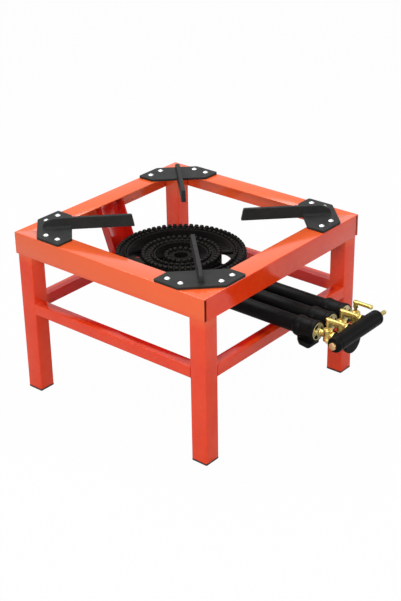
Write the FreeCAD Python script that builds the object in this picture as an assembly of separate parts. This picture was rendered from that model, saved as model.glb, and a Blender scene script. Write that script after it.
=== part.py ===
import FreeCAD, Part
import math
import os

V = FreeCAD.Vector
X_AXIS = V(1, 0, 0)
Y_AXIS = V(0, 1, 0)
Z_AXIS = V(0, 0, 1)

# Low single-burner pot range: a square steel stand that carries a three-ring cast gas burner.
# Millimetres, +Z up.  The origin is on the floor at the centre of the four feet.  The gas
# controls stand out of the front, which is -Y.

# ---- stand ---------------------------------------------------------------------------------
SIDE = 400.0            # outside of the top frame, both ways
TOP = 290.0             # top face of the rails above the floor
SHEET = 2.0             # folded sheet of the rails
RAIL_W = 37.0           # width of a rail's top flange
SKIRT = 38.0            # height of a rail's outer flange
CORNER_SLIT = 2.0       # open slit between two skirts at a corner
LEG = 30.0              # square leg tube
LEG_WALL = 1.5
TUBE_ROUND = 1.5        # outer corner radius of the square tubes
STRETCHER = 20.0        # square stretcher tube
STRETCHER_WALL = 1.5
STRETCHER_TOP = 167.0   # top face of the stretchers above the floor
CAP_H = 3.5             # foot cap's visible pad
CAP_PLUG = 14.0         # its plug inside the leg
CAP_WALL = 2.0
CAP_CLEAR = 0.15

# ---- trivet castings -----------------------------------------------------------------------
PLATE_T = 4.0
PLATE_NEAR = 52.0       # along the rail, frame corner to the plate's outer cut
PLATE_FAR = 100.0       # along the rail, frame corner to the plate's far end
PLATE_REACH = 32.0      # straight side of the plate, square to the rail
PLATE_ROUND = 4.0
BAR_T = 8.0             # support bar at its foot
BAR_TOP_T = 6.4         # support bar at its top
BAR_H = 20.5            # underside to top
BAR_OUT = 46.0          # diagonal distance, frame corner to the bar's outer end
BAR_IN = 195.5          # diagonal distance, frame corner to the bar's inner foot
BAR_NOSE = 4.0          # how far the inner end leans back at its top
BAR_TOE = 4.0           # low outer end of the bar above the plate
BAR_SHOULDER = 14.0     # length of the rounded rise at the outer end
ROOT = 3.0              # cast root between bar and plate
RIVET_ALONG = (58.0, 84.0)
RIVET_INSET = 15.0      # rivet rows from the rail's outer face
RIVET_R = 2.4
RIVET_CLEAR = 0.1
RIVET_HEAD_R = 4.75
RIVET_HEAD_H = 2.2
RIVET_CROWN_R = 2.2     # flat crown of the head
RIVET_TAIL_R = 3.8
RIVET_TAIL_H = 1.6

# ---- burner --------------------------------------------------------------------------------
BURNER_Y = 17.0         # burner axis behind the centre of the stand
TUBE_Z = 199.0          # axis of the mixing tubes above the floor
TUBE_PITCH = 37.0
TUBE_R = 13.3
TUBE_BORE = 10.3
BASE_RISE = 4.0         # trough undersides above the tube axis
TROUGH_WALL = 3.5
TROUGH_FLOOR = 4.0
TROUGH_DRAFT = 4.0      # each trough is narrower by this at the bottom, outside
OUTER_RO = 110.0        # outer ring
OUTER_RI = 88.0
OUTER_DEPTH = 22.0      # trough depth, underside to rim
MID_RO = 68.0           # middle ring
MID_RI = 43.0
MID_DEPTH = 19.0
INNER_RO = 30.0         # inner ring
INNER_RI = 12.0
INNER_DEPTH = 15.0
HEAD_H = 8.0            # ring head's plate, rim to top
HEAD_LIP = 3.0          # locating lip inside the trough
HEAD_LIP_T = 2.4
HEAD_CHAMBER = 4.5      # gas chamber cut up into the head
LIP_CLEAR = 0.3
NUB_H = 5.0
NUB_SINK = 0.5
NUB_BASE = 6.8          # nub foot along the ring
NUB_TIP = 4.2           # nub tip along the ring
NUB_PITCH = 9.4
NUB_EDGE = 0.6          # nub foot in from the ring's edge
NUB_LONG = 8.4          # nub foot across the ring
NUB_LONG_TIP = 5.4
PORT_W = 3.0            # flame port, along the ring
PORT_L = 4.0            # flame port, across the ring
SLOT_W = 3.0            # slots down the outer wall between the nubs
SLOT_IN = 1.8
SLOT_D = 4.5
PORT_GAP = 1.2          # port behind the outer nubs
RIM_H = 1.5             # low rim along each ring's inner edge
RIM_T = 2.6
BRIDGE_W = 8.0          # flash bridges between outer and middle heads
BRIDGE_H = 6.0
BRIDGE_GAP = 0.4
BRIDGE_AT = (160.0, 315.0)  # their directions round the burner
RISER_R = 4.5
ARM_W = 12.0            # rear arm under the rings
ARM_H = 7.0
EAR_W = 28.0            # rear ear
EAR_T = 8.0
EAR_LEN = 22.0
EAR_HOLE_IN = 12.0      # hole from the ear's end

# ---- bells, lugs and the arm that holds the manifold ----------------------------------------
MOUTH_REACH = 89.0      # bell mouths stand this far outside the frame
BELL_R = 16.7
BELL_LEN = 36.0
BELL_BORE = 14.4
BELL_DEPTH = 20.0       # straight part of the bell's bore
THROAT = 12.0           # taper from bell bore to tube bore
FLARE = 4.0
WEB_T = 6.0             # webs between the bells
WEB_LEN = 27.0
SPIDER_SET = 1.7        # spider face behind the mouth
SPIDER_T = 2.0
LUG_T = 6.5
LUG_SINK = 1.5
LUG_HOLE_R = 3.2
LUG_HOLE_OUT = 12.0     # hole outside the bell axis
LUG_HOLE_BACK = 8.0     # hole behind the mouth
LUG_OUTLINE = ((-6.0, 2.0), (23.0, 2.0), (19.0, 22.0), (8.0, 34.0), (-6.0, 34.0))
CAST_FOOT_W = 22.0      # foot under the middle tube
CARRIER_W = 12.0        # cast arm from the middle bell to the manifold
CARRIER_H = 8.0
CARRIER_DROP = 16.0     # arm's top below the tube axis
CARRIER_PAD_R = 8.5
CARRIER_PAD_T = 6.0
SPANNER_GAP = 1.0       # bolt head below the arm
CARRIER_BACK = 26.0     # arm's root behind the mouth

# ---- manifold and gas cocks -----------------------------------------------------------------
MAN_GAP = 44.0          # manifold axis in front of the mouths
MAN_R = 12.5
MAN_OVER = 23.0         # pipe beyond the axes of the outer cocks
MAN_WALL = 3.0
MAN_END = 6.0           # thickness of the closed ends
MAN_EDGE = 2.5          # chamfer of the closed ends
MAN_BOSS_R = 7.5
MAN_BOSS_OUT = 14.0     # boss face from the manifold axis
TAB_R = 21.0
TAB_T = 6.0
TAB_DROP = 18.0         # centre of the tab's arc below the tube axis
TAB_BACK = 4.0          # tab's front face behind the manifold axis
NIPPLE_R = 5.0
NIPPLE_LEN = 6.0
THREAD_CLEAR = 0.05
PLUG_AF = 11.0
PLUG_H = 5.0
BARB_AF = 11.0
BARB_HEX = 3.0
BARB_SHANK_R = 4.4
BARB_RIDGE_R = 4.1
BARB_RIDGE_LEN = 2.0
BARB_R = 3.5
BARB_LEN = 13.0
BARB_BORE = 2.0
STEM_BACK = 18.0        # stem axis in front of the mouths
COCK_HEX_AF = 14.0
COCK_HEX_LEN = 5.0
COCK_R = 6.0            # body along the gas way
COCK_OUT_R = 5.5
COCK_OUT = 12.0         # outlet face behind the stem axis
BARREL_R = 7.5
BARREL_UP = 10.0
BARREL_DOWN = 9.5
GAS_BORE = 2.2
CONE_TOP_R = 4.8
CONE_LOW_R = 3.9
CONE_CLEAR = 0.06
STUD_R = 2.0
STUD_LEN = 5.5
WASHER_R = 5.0
WASHER_T = 1.0
NUT_AF = 7.0
NUT_H = 2.8
RUN_GAP = 0.3
STEM_R = 2.6
STEM_CLEAR = 0.03
SLEEVE_R = 4.0
SLEEVE_H = 6.0
STEM_H = 7.5            # barrel top to the lever's sleeve
LEVER_R = 3.8
LEVER_LEN = 27.0
LEVER_H = 5.5
SOCKET = 3.0            # stem inside the lever bar
JET_AF = 10.0
JET_HEX = 3.4
JET_R = 3.3
JET_LEN = 14.0
JET_BORE = 0.9
DISC_R = 14.0
DISC_T = 1.4
DISC_CLEAR = 0.06
HUB_R = 5.6             # hub that runs against the jet's hexagon
WINDOW_IN = 6.4
WINDOW_OUT = 12.4
WINDOW_DEG = 56.0
WINDOWS = 3

# ---- rear bracket and bolts -----------------------------------------------------------------
BRACKET_W = 54.0
BRACKET_T = 2.0
BRACKET_D = 15.0        # flange depth
BRACKET_IN = 8.5        # back of the bracket inside the skirt, at the top
BRACKET_BEHIND = 6.5    # bend behind the ear's end
BRACKET_TONGUE = 36.0
BRACKET_NOTCH = 2.0
M8_R = 4.0
M8_AF = 13.0
M8_HEAD = 5.3
M8_NUT = 6.5
M6_R = 3.0
M6_AF = 10.0
M6_HEAD = 4.0
HOLE_CLEAR = 0.4
BOLT_THREAD = 12.0

# ---- derived places -------------------------------------------------------------------------
HALF = SIDE / 2.0
FACE = HALF - SHEET
UNDER = TOP - SHEET
BASE_Z = TUBE_Z + BASE_RISE
MOUTH_Y = -HALF - MOUTH_REACH
MAN_Y = MOUTH_Y - MAN_GAP
STEM_Y = MOUTH_Y - STEM_BACK
TUBE_X = (-TUBE_PITCH, 0.0, TUBE_PITCH)
MAN_LEN = 2.0 * (TUBE_PITCH + MAN_OVER)
EAR_Z = BASE_Z - TROUGH_FLOOR
EAR_END = BURNER_Y + OUTER_RO + EAR_LEN
EAR_HOLE_Y = EAR_END - EAR_HOLE_IN
CAST_FOOT_Y = -FACE + STRETCHER / 2.0
TAB_Y = MAN_Y + TAB_BACK
TAB_BACK_Y = TAB_Y + TAB_T
ARM_BOLT_Z = TUBE_Z - CARRIER_DROP - CARRIER_H - M6_AF / 2.0 - SPANNER_GAP


# ---- small builders -------------------------------------------------------------------------
def box(x0, x1, y0, y1, z0, z1):
    return Part.makeBox(x1 - x0, y1 - y0, z1 - z0, V(x0, y0, z0))


def prism(points, direction):
    """Closed outline through the points, swept along a vector."""
    wire = Part.makePolygon(list(points) + [points[0]])
    return Part.Face(wire).extrude(direction)


def rod(radius, start, axis, length):
    return Part.makeCylinder(radius, length, start, axis)


def hexagon(across_flats, start, axis, length, side):
    """Hexagonal prism from start along axis; side is any direction square to the axis."""
    corner = across_flats / math.sqrt(3.0)
    across = axis.cross(side)
    points = []
    for k in range(6):
        a = math.radians(60.0 * k + 30.0)
        points.append(start + side * (corner * math.cos(a)) + across * (corner * math.sin(a)))
    return prism(points, axis * length)


def spin(profile, centre):
    """Solid of revolution about the vertical through centre; profile holds (radius, z)."""
    points = [V(centre.x + r, centre.y, z) for r, z in profile]
    wire = Part.makePolygon(points + [points[0]])
    return Part.Face(wire).revolve(V(centre.x, centre.y, 0), Z_AXIS, 360)


def square_tube(side, wall, length, start, axis, u, w):
    """Square tube with rounded outer corners; start is the middle of its end."""
    h = side / 2.0
    n = h - wall
    outer = prism([start + u * a + w * b for a, b in ((-h, -h), (h, -h), (h, h), (-h, h))],
                  axis * length)
    edges = [e for e in outer.Edges if abs(abs(e.tangentAt(e.FirstParameter) * axis) - 1) < 1e-6]
    outer = outer.makeFillet(TUBE_ROUND, edges)
    bore = prism([start + u * a + w * b for a, b in ((-n, -n), (n, -n), (n, n), (-n, n))],
                 axis * length)
    return outer.cut(bore)


def turned(shape, degrees):
    copy = shape.copy()
    copy.rotate(V(0, 0, 0), Z_AXIS, degrees)
    return copy


def tapered_block(foot, tip, height):
    """Flat-sided block that stands on the origin; foot and tip are (x size, y size)."""
    (fx, fy), (tx, ty) = [(a / 2.0, b / 2.0) for a, b in (foot, tip)]
    block = Part.makeWedge(-fx, 0, -fy, -ty, -tx, fx, height, fy, ty, tx)
    block.rotate(V(0, 0, 0), X_AXIS, 90)
    return block


def one_solid(shape):
    """The single solid of a boolean's result."""
    return shape.Solids[0] if len(shape.Solids) == 1 else shape


# ---- stand ---------------------------------------------------------------------------------
def rail(open_corner):
    """Front rail: an L-shaped folding, mitred at 45 degrees at both ends."""
    profile = [(-HALF, TOP - SKIRT), (-FACE, TOP - SKIRT), (-FACE, UNDER),
               (-HALF + RAIL_W, UNDER), (-HALF + RAIL_W, TOP), (-HALF, TOP)]
    body = prism([V(-HALF, y, z) for y, z in profile], X_AXIS * SIDE)
    fold = [e for e in body.Edges
            if abs(e.CenterOfMass.y + HALF) < 1e-6 and abs(e.CenterOfMass.z - TOP) < 1e-6]
    body = body.makeFillet(SHEET, fold)
    for s in (-1, 1):
        corner = [V(s * HALF, -HALF, 0), V(s * (HALF - RAIL_W), -HALF + RAIL_W, 0),
                  V(s * (HALF - RAIL_W), HALF, 0), V(s * SIDE, HALF, 0), V(s * SIDE, -HALF, 0)]
        body = body.cut(prism([p + V(0, 0, TOP - 2 * SKIRT) for p in corner], Z_AXIS * SKIRT * 3))
        if open_corner:
            inner = s * (HALF - SHEET - CORNER_SLIT)
            x0 = min(inner, s * SIDE)
            x1 = max(inner, s * SIDE)
            body = body.cut(box(x0, x1, -SIDE, -FACE, TOP - 2 * SKIRT, UNDER))
    return body


def rivet_spots():
    """Rivet centres of the front-left trivet, as (x, y)."""
    spots = []
    for along in RIVET_ALONG:
        spots.append((-HALF + along, -HALF + RIVET_INSET))
        spots.append((-HALF + RIVET_INSET, -HALF + along))
    return spots


def rivet_holes():
    """Cutters for all sixteen rivets."""
    cutters = []
    for k in range(4):
        for x, y in rivet_spots():
            hole = rod(RIVET_R + RIVET_CLEAR, V(x, y, UNDER - 1), Z_AXIS, SHEET + PLATE_T + 2)
            cutters.append(turned(hole, 90 * k))
    return Part.makeCompound(cutters)


def rivets():
    low = UNDER
    high = TOP + PLATE_T
    made = []
    for k in range(4):
        for x, y in rivet_spots():
            body = rod(RIVET_R, V(x, y, low), Z_AXIS, high - low)
            tail = rod(RIVET_TAIL_R, V(x, y, low - RIVET_TAIL_H), Z_AXIS, RIVET_TAIL_H)
            head = Part.makeCone(RIVET_HEAD_R, RIVET_CROWN_R, RIVET_HEAD_H, V(x, y, high), Z_AXIS)
            made.append(turned(one_solid(body.fuse([tail, head])), 90 * k))
    return Part.makeCompound(made)


def leg(x_side, y_side):
    x = x_side * (FACE - LEG / 2.0)
    y = y_side * (FACE - LEG / 2.0)
    return square_tube(LEG, LEG_WALL, UNDER - CAP_H, V(x, y, CAP_H), Z_AXIS, X_AXIS, Y_AXIS)


def foot_cap(x_side, y_side):
    x = x_side * (FACE - LEG / 2.0)
    y = y_side * (FACE - LEG / 2.0)
    h = LEG / 2.0
    pad = box(x - h, x + h, y - h, y + h, 0, CAP_H)
    upright = [e for e in pad.Edges if abs(abs(e.tangentAt(e.FirstParameter) * Z_AXIS) - 1) < 1e-6]
    pad = pad.makeFillet(TUBE_ROUND, upright)
    p = h - LEG_WALL - CAP_CLEAR
    q = p - CAP_WALL
    plug = box(x - p, x + p, y - p, y + p, CAP_H, CAP_H + CAP_PLUG)
    hollow = box(x - q, x + q, y - q, y + q, CAP_H, CAP_H + CAP_PLUG)
    return one_solid(pad.fuse(plug.cut(hollow)))


def stretcher(with_bolt_hole):
    """Front stretcher, flush with the outer faces of the legs."""
    length = 2 * (FACE - LEG)
    start = V(-FACE + LEG, CAST_FOOT_Y, STRETCHER_TOP - STRETCHER / 2.0)
    body = square_tube(STRETCHER, STRETCHER_WALL, length, start, X_AXIS, Y_AXIS, Z_AXIS)
    if with_bolt_hole:
        hole = rod(M6_R + HOLE_CLEAR, V(0, CAST_FOOT_Y, STRETCHER_TOP - 1.5 * STRETCHER),
                   Z_AXIS, 2 * STRETCHER)
        body = body.cut(hole)
    return body


# ---- trivet castings -----------------------------------------------------------------------
def trivet():
    """Front-left trivet: a six-sided plate with an upright bar on the diagonal."""
    plan = [(PLATE_NEAR, 0), (PLATE_FAR, 0), (PLATE_FAR, PLATE_REACH),
            (PLATE_REACH, PLATE_FAR), (0, PLATE_FAR), (0, PLATE_NEAR)]
    plate = prism([V(-HALF + a, -HALF + b, TOP) for a, b in plan], Z_AXIS * PLATE_T)
    upright = [e for e in plate.Edges
               if abs(abs(e.tangentAt(e.FirstParameter) * Z_AXIS) - 1) < 1e-6]
    plate = plate.makeFillet(PLATE_ROUND, upright)

    rise = BAR_SHOULDER
    top = TOP + BAR_H
    side = [(BAR_OUT, TOP), (BAR_OUT, TOP + PLATE_T + BAR_TOE), (BAR_OUT + rise * 0.2, top - 7.0),
            (BAR_OUT + rise * 0.5, top - 3.0), (BAR_OUT + rise, top - 0.8),
            (BAR_OUT + 2 * rise, top), (BAR_IN - BAR_NOSE, top), (BAR_IN, TOP)]
    bar = prism([V(d, -BAR_T / 2.0, z) for d, z in side], Y_AXIS * BAR_T)
    for s in (-1, 1):
        lean = [V(0, s * BAR_T / 2.0, TOP + PLATE_T), V(0, s * BAR_TOP_T / 2.0, top),
                V(0, s * BAR_TOP_T / 2.0, top + 5), V(0, s * BAR_T, top + 5),
                V(0, s * BAR_T, TOP + PLATE_T)]
        bar = bar.cut(prism(lean, X_AXIS * (BAR_IN + 10)))
    inner_edge = (PLATE_FAR + PLATE_REACH) / math.sqrt(2.0)
    root_h = TOP + PLATE_T
    half_t = BAR_T / 2.0
    root = prism([V(BAR_OUT + 1, -half_t - ROOT, root_h), V(BAR_OUT + 1, half_t + ROOT, root_h),
                  V(BAR_OUT + 1, half_t - 0.6, root_h + ROOT),
                  V(BAR_OUT + 1, 0.6 - half_t, root_h + ROOT)],
                 X_AXIS * (inner_edge - BAR_OUT - 1.5))
    bar = bar.fuse(root)
    bar.rotate(V(0, 0, 0), Z_AXIS, 45)
    bar.translate(V(-HALF, -HALF, 0))
    return one_solid(plate.fuse(bar))


# ---- burner --------------------------------------------------------------------------------
class Ring:
    """One burner ring: its radii and the depth of its trough."""

    def __init__(self, ro, ri, depth):
        self.ro = ro
        self.ri = ri
        self.rim = BASE_Z + depth
        self.mid = (ro + ri) / 2.0
        self.nub_row = ro - NUB_EDGE - NUB_LONG / 2.0
        self.nubs = int(round(2 * math.pi * self.nub_row / NUB_PITCH))
        self.port_row = ro - NUB_EDGE - NUB_LONG - PORT_GAP - PORT_L / 2.0


OUTER = Ring(OUTER_RO, OUTER_RI, OUTER_DEPTH)
MIDDLE = Ring(MID_RO, MID_RI, MID_DEPTH)
INNER = Ring(INNER_RO, INNER_RI, INNER_DEPTH)
CENTRE = V(0, BURNER_Y, 0)


def around(shape, count, first_degrees):
    """Copies of a shape spaced evenly round the burner axis."""
    copies = []
    for k in range(count):
        one = shape.copy()
        one.rotate(CENTRE, Z_AXIS, first_degrees + 360.0 * k / count)
        copies.append(one)
    return copies


def nub(radius, z, long_foot, long_tip):
    """One tapered nub standing on a ring's top, on the +X side of the burner."""
    block = tapered_block((long_foot, NUB_BASE), (long_tip, NUB_TIP), NUB_SINK + NUB_H)
    block.translate(V(radius, BURNER_Y, z - NUB_SINK))
    return block


def port(radius, low, high):
    return box(radius - PORT_L / 2.0, radius + PORT_L / 2.0, BURNER_Y - PORT_W / 2.0,
               BURNER_Y + PORT_W / 2.0, low, high)


def slot(ring, top):
    return box(ring.ro - SLOT_IN, ring.ro + 1, BURNER_Y - SLOT_W / 2.0,
               BURNER_Y + SLOT_W / 2.0, top - SLOT_D, top + 1)


def ring_head(ring, inner_row):
    """Toothed ring head, hollow underneath, with a lip that drops into the trough."""
    z = ring.rim
    top = z + HEAD_H
    lip_out = ring.ro - TROUGH_WALL - LIP_CLEAR
    lip_in = ring.ri + TROUGH_WALL + LIP_CLEAR
    profile = [(ring.ri, z), (lip_in, z), (lip_in, z - HEAD_LIP),
               (lip_in + HEAD_LIP_T, z - HEAD_LIP), (lip_in + HEAD_LIP_T, z + HEAD_CHAMBER),
               (lip_out - HEAD_LIP_T, z + HEAD_CHAMBER), (lip_out - HEAD_LIP_T, z - HEAD_LIP),
               (lip_out, z - HEAD_LIP), (lip_out, z), (ring.ro, z), (ring.ro, top),
               (ring.ri + RIM_T, top), (ring.ri + RIM_T, top + RIM_H), (ring.ri, top + RIM_H)]
    body = spin(profile, CENTRE)
    nubs = around(nub(ring.nub_row, top, NUB_LONG, NUB_LONG_TIP), ring.nubs, 0)
    if inner_row:
        row = ring.ri + NUB_EDGE + RIM_T + NUB_LONG_TIP / 2.0
        count = int(round(2 * math.pi * row / NUB_PITCH))
        nubs = nubs + around(nub(row, top, NUB_LONG_TIP, NUB_TIP), count, 180.0 / count)
    body = body.fuse(nubs)
    half_pitch = 180.0 / ring.nubs
    ports = around(port(ring.port_row, z + HEAD_CHAMBER - 1, top + 1), ring.nubs, half_pitch)
    slots = around(slot(ring, top), ring.nubs, half_pitch)
    return body.cut(Part.makeCompound(ports + slots))


def outer_head():
    """Outer head with two flash bridges that reach to the middle head."""
    head = ring_head(OUTER, False)
    low = MIDDLE.rim + HEAD_H - BRIDGE_H
    reach = math.sqrt(MID_RO ** 2 - (BRIDGE_W / 2.0) ** 2) + BRIDGE_GAP
    bridges = []
    for side in BRIDGE_AT:
        bar = box(reach, OUTER_RI + 2.0, BURNER_Y - BRIDGE_W / 2.0, BURNER_Y + BRIDGE_W / 2.0,
                  max(low, OUTER.rim), max(low, OUTER.rim) + BRIDGE_H)
        bar.rotate(CENTRE, Z_AXIS, side)
        bridges.append(bar)
    return one_solid(head.fuse(bridges))


def trough(ring):
    """Outer form of one ring of the base, drafted towards the bottom."""
    profile = [(ring.ri, ring.rim), (ring.ri + TROUGH_DRAFT / 2.0, BASE_Z),
               (ring.ro - TROUGH_DRAFT, BASE_Z), (ring.ro, BASE_Z + TROUGH_DRAFT * 2),
               (ring.ro, ring.rim)]
    return spin(profile, CENTRE)


def trough_channel(ring):
    low = BASE_Z + TROUGH_FLOOR
    profile = [(ring.ri + TROUGH_WALL, ring.rim + 1), (ring.ri + TROUGH_WALL, low),
               (ring.ro - TROUGH_WALL, low), (ring.ro - TROUGH_WALL, ring.rim + 1)]
    return spin(profile, CENTRE)


def tube_end(ring, x):
    """Where a mixing tube's axis ends, under the middle of its ring."""
    return BURNER_Y - math.sqrt(ring.mid ** 2 - x ** 2)


def sector(r_in, r_out, y0, depth, centre_degrees, x):
    """One window: part of a ring about a mixing tube's axis."""
    start = V(x, y0, TUBE_Z)
    ring = rod(r_out, start, Y_AXIS, depth).cut(rod(r_in, start, Y_AXIS, depth))
    half = WINDOW_DEG / 2.0
    points = [start]
    for a in (centre_degrees - half, centre_degrees, centre_degrees + half):
        far = 2.0 * r_out
        points.append(start + V(far * math.cos(math.radians(a)), 0, far * math.sin(math.radians(a))))
    return ring.common(prism(points, Y_AXIS * depth))


def windows(y0, depth, x):
    cutters = []
    for k in range(WINDOWS):
        cutters.append(sector(WINDOW_IN, WINDOW_OUT, y0, depth, 360.0 * k / WINDOWS, x))
    return Part.makeCompound(cutters)


def lug(side):
    """Flat ear under an outer bell; side is -1 left, +1 right."""
    z = TUBE_Z - BELL_R - LUG_T + LUG_SINK
    plan = [V(side * (TUBE_PITCH + out), MOUTH_Y + back, z) for out, back in LUG_OUTLINE]
    body = prism(plan, Z_AXIS * LUG_T)
    hole = V(side * (TUBE_PITCH + LUG_HOLE_OUT), MOUTH_Y + LUG_HOLE_BACK, z - 1)
    return body, rod(LUG_HOLE_R, hole, Z_AXIS, LUG_T + 2)


def burner_base():
    """One casting: three troughs, three mixing tubes with bells, lugs, ear, foot and carrier."""
    rings = (OUTER, MIDDLE, INNER)
    fed = (OUTER, INNER, MIDDLE)
    body = trough(OUTER).fuse([trough(MIDDLE), trough(INNER)])
    arm = box(-ARM_W / 2.0, ARM_W / 2.0, BURNER_Y + INNER.mid, BURNER_Y + OUTER.mid,
              EAR_Z, EAR_Z + ARM_H)
    ear = box(-EAR_W / 2.0, EAR_W / 2.0, BURNER_Y + OUTER.mid, EAR_END, EAR_Z, EAR_Z + EAR_T)
    body = body.fuse([arm, ear])
    body = body.cut(Part.makeCompound([trough_channel(r) for r in rings]))

    bell_y = MOUTH_Y + BELL_LEN
    adds = []
    bores = []
    for x, ring in zip(TUBE_X, fed):
        end = tube_end(ring, x)
        adds.append(rod(TUBE_R, V(x, bell_y, TUBE_Z), Y_AXIS, end + RISER_R + 3.0 - bell_y))
        adds.append(rod(BELL_R, V(x, MOUTH_Y, TUBE_Z), Y_AXIS, BELL_LEN))
        adds.append(Part.makeCone(BELL_R, TUBE_R, FLARE, V(x, bell_y, TUBE_Z), Y_AXIS))
        bores.append(rod(TUBE_BORE, V(x, MOUTH_Y + BELL_DEPTH, TUBE_Z), Y_AXIS,
                         end + RISER_R - MOUTH_Y - BELL_DEPTH))
        bores.append(rod(BELL_BORE, V(x, MOUTH_Y - 1, TUBE_Z), Y_AXIS, BELL_DEPTH + 1))
        bores.append(Part.makeCone(BELL_BORE, TUBE_BORE, THROAT,
                                   V(x, MOUTH_Y + BELL_DEPTH, TUBE_Z), Y_AXIS))
        bores.append(rod(RISER_R, V(x, end, TUBE_Z), Z_AXIS, BASE_Z + TROUGH_FLOOR + 6 - TUBE_Z))
    web_y = MOUTH_Y + BELL_LEN - WEB_LEN
    adds.append(box(-TUBE_PITCH, TUBE_PITCH, web_y, web_y + WEB_LEN - 4.0,
                    TUBE_Z - WEB_T / 2.0, TUBE_Z + WEB_T / 2.0))
    holes = []
    for side in (-1, 1):
        plate, hole = lug(side)
        adds.append(plate)
        holes.append(hole)
    half = CAST_FOOT_W / 2.0
    adds.append(box(-half, half, -FACE, -FACE + STRETCHER, STRETCHER_TOP, TUBE_Z - TUBE_R / 2.0))
    top = TUBE_Z - CARRIER_DROP
    w = CARRIER_W / 2.0
    adds.append(box(-w, w, TAB_BACK_Y, MOUTH_Y + CARRIER_BACK, top - CARRIER_H, top))
    adds.append(box(-w, w, MOUTH_Y, MOUTH_Y + CARRIER_BACK, top - CARRIER_H, TUBE_Z - BELL_BORE - 0.5))
    pad = V(0, TAB_BACK_Y, ARM_BOLT_Z)
    adds.append(rod(CARRIER_PAD_R, pad, Y_AXIS, CARRIER_PAD_T))
    body = body.fuse(adds)

    holes.append(rod(M6_R + HOLE_CLEAR, pad - Y_AXIS, Y_AXIS, CARRIER_PAD_T + 2))
    holes.append(rod(M6_R + THREAD_CLEAR, V(0, CAST_FOOT_Y, STRETCHER_TOP - 1), Z_AXIS,
                     BOLT_THREAD + 1))
    holes.append(rod(M8_R + HOLE_CLEAR, V(0, EAR_HOLE_Y, EAR_Z - 1), Z_AXIS, EAR_T + 2))
    body = body.cut(Part.makeCompound(bores))
    body = body.cut(Part.makeCompound(holes))

    spiders = []
    for x in TUBE_X:
        y = MOUTH_Y + SPIDER_SET
        plate = rod(BELL_BORE + 0.5, V(x, y, TUBE_Z), Y_AXIS, SPIDER_T)
        plate = plate.cut(windows(y - 1, SPIDER_T + 2, x))
        eye = rod(JET_R + HOLE_CLEAR, V(x, y - 1, TUBE_Z), Y_AXIS, SPIDER_T + 2)
        spiders.append(plate.cut(eye))
    return one_solid(body.fuse(spiders))


# ---- rear bracket ---------------------------------------------------------------------------
def bracket():
    """Folded channel: hangs from the rear rail and bends forward under the burner's ear."""
    low = V(0, EAR_END + BRACKET_BEHIND, EAR_Z - BRACKET_T)
    high = V(0, FACE - BRACKET_IN, UNDER)
    along = V(high)
    along = (high - low).normalize()
    front = V(0, -along.z, along.y)
    past = along * BRACKET_D
    half = BRACKET_W / 2.0

    def slab(depth, x0, width):
        outline = [low, low + front * depth, high + front * depth + past, high + past]
        return prism([p + X_AXIS * x0 for p in outline], X_AXIS * width)

    web = slab(BRACKET_T, -half, BRACKET_W)
    sides = [slab(BRACKET_D, -half, BRACKET_T), slab(BRACKET_D, half - BRACKET_T, BRACKET_T)]
    foot_z = EAR_Z + BRACKET_NOTCH
    above = box(-half, half, low.y - BRACKET_D * 2, low.y + BRACKET_D, foot_z - 3 * BRACKET_D, foot_z)
    sides = [s.cut(above) for s in sides]
    tongue_w = half - BRACKET_T
    tongue = box(-tongue_w, tongue_w, low.y - BRACKET_TONGUE, low.y, low.z, EAR_Z)
    body = web.fuse(sides + [tongue])
    trim = box(-half - 1, half + 1, low.y - SIDE, HALF, UNDER, UNDER + SIDE)
    base_trim = box(-half - 1, half + 1, low.y - SIDE, HALF, low.z - SIDE, low.z)
    body = body.cut(trim).cut(base_trim)
    hole = rod(M8_R + HOLE_CLEAR, V(0, EAR_HOLE_Y, low.z - 1), Z_AXIS, BRACKET_T + 2)
    return one_solid(body.cut(hole))


def bracket_bolt():
    top = EAR_Z + EAR_T
    low = EAR_Z - BRACKET_T
    head = hexagon(M8_AF, V(0, EAR_HOLE_Y, top), Z_AXIS, M8_HEAD, X_AXIS)
    shank = rod(M8_R, V(0, EAR_HOLE_Y, low - M8_NUT - 2), Z_AXIS, top - low + M8_NUT + 2)
    nut = hexagon(M8_AF, V(0, EAR_HOLE_Y, low - M8_NUT), Z_AXIS, M8_NUT, X_AXIS)
    nut = nut.cut(rod(M8_R + THREAD_CLEAR, V(0, EAR_HOLE_Y, low - M8_NUT - 1), Z_AXIS, M8_NUT + 2))
    return Part.makeCompound([one_solid(head.fuse(shank)), nut])


def foot_bolt():
    low = STRETCHER_TOP - STRETCHER
    head = hexagon(M6_AF, V(0, CAST_FOOT_Y, low - M6_HEAD), Z_AXIS, M6_HEAD, X_AXIS)
    shank = rod(M6_R, V(0, CAST_FOOT_Y, low), Z_AXIS, STRETCHER + BOLT_THREAD - 1)
    return one_solid(head.fuse(shank))


def carrier_bolt():
    back = TAB_BACK_Y + CARRIER_PAD_T
    head = hexagon(M6_AF, V(0, back, ARM_BOLT_Z), Y_AXIS, M6_HEAD, X_AXIS)
    length = CARRIER_PAD_T + TAB_T - 1.5
    shank = rod(M6_R, V(0, back - length, ARM_BOLT_Z), Y_AXIS, length)
    return one_solid(head.fuse(shank))


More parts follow.
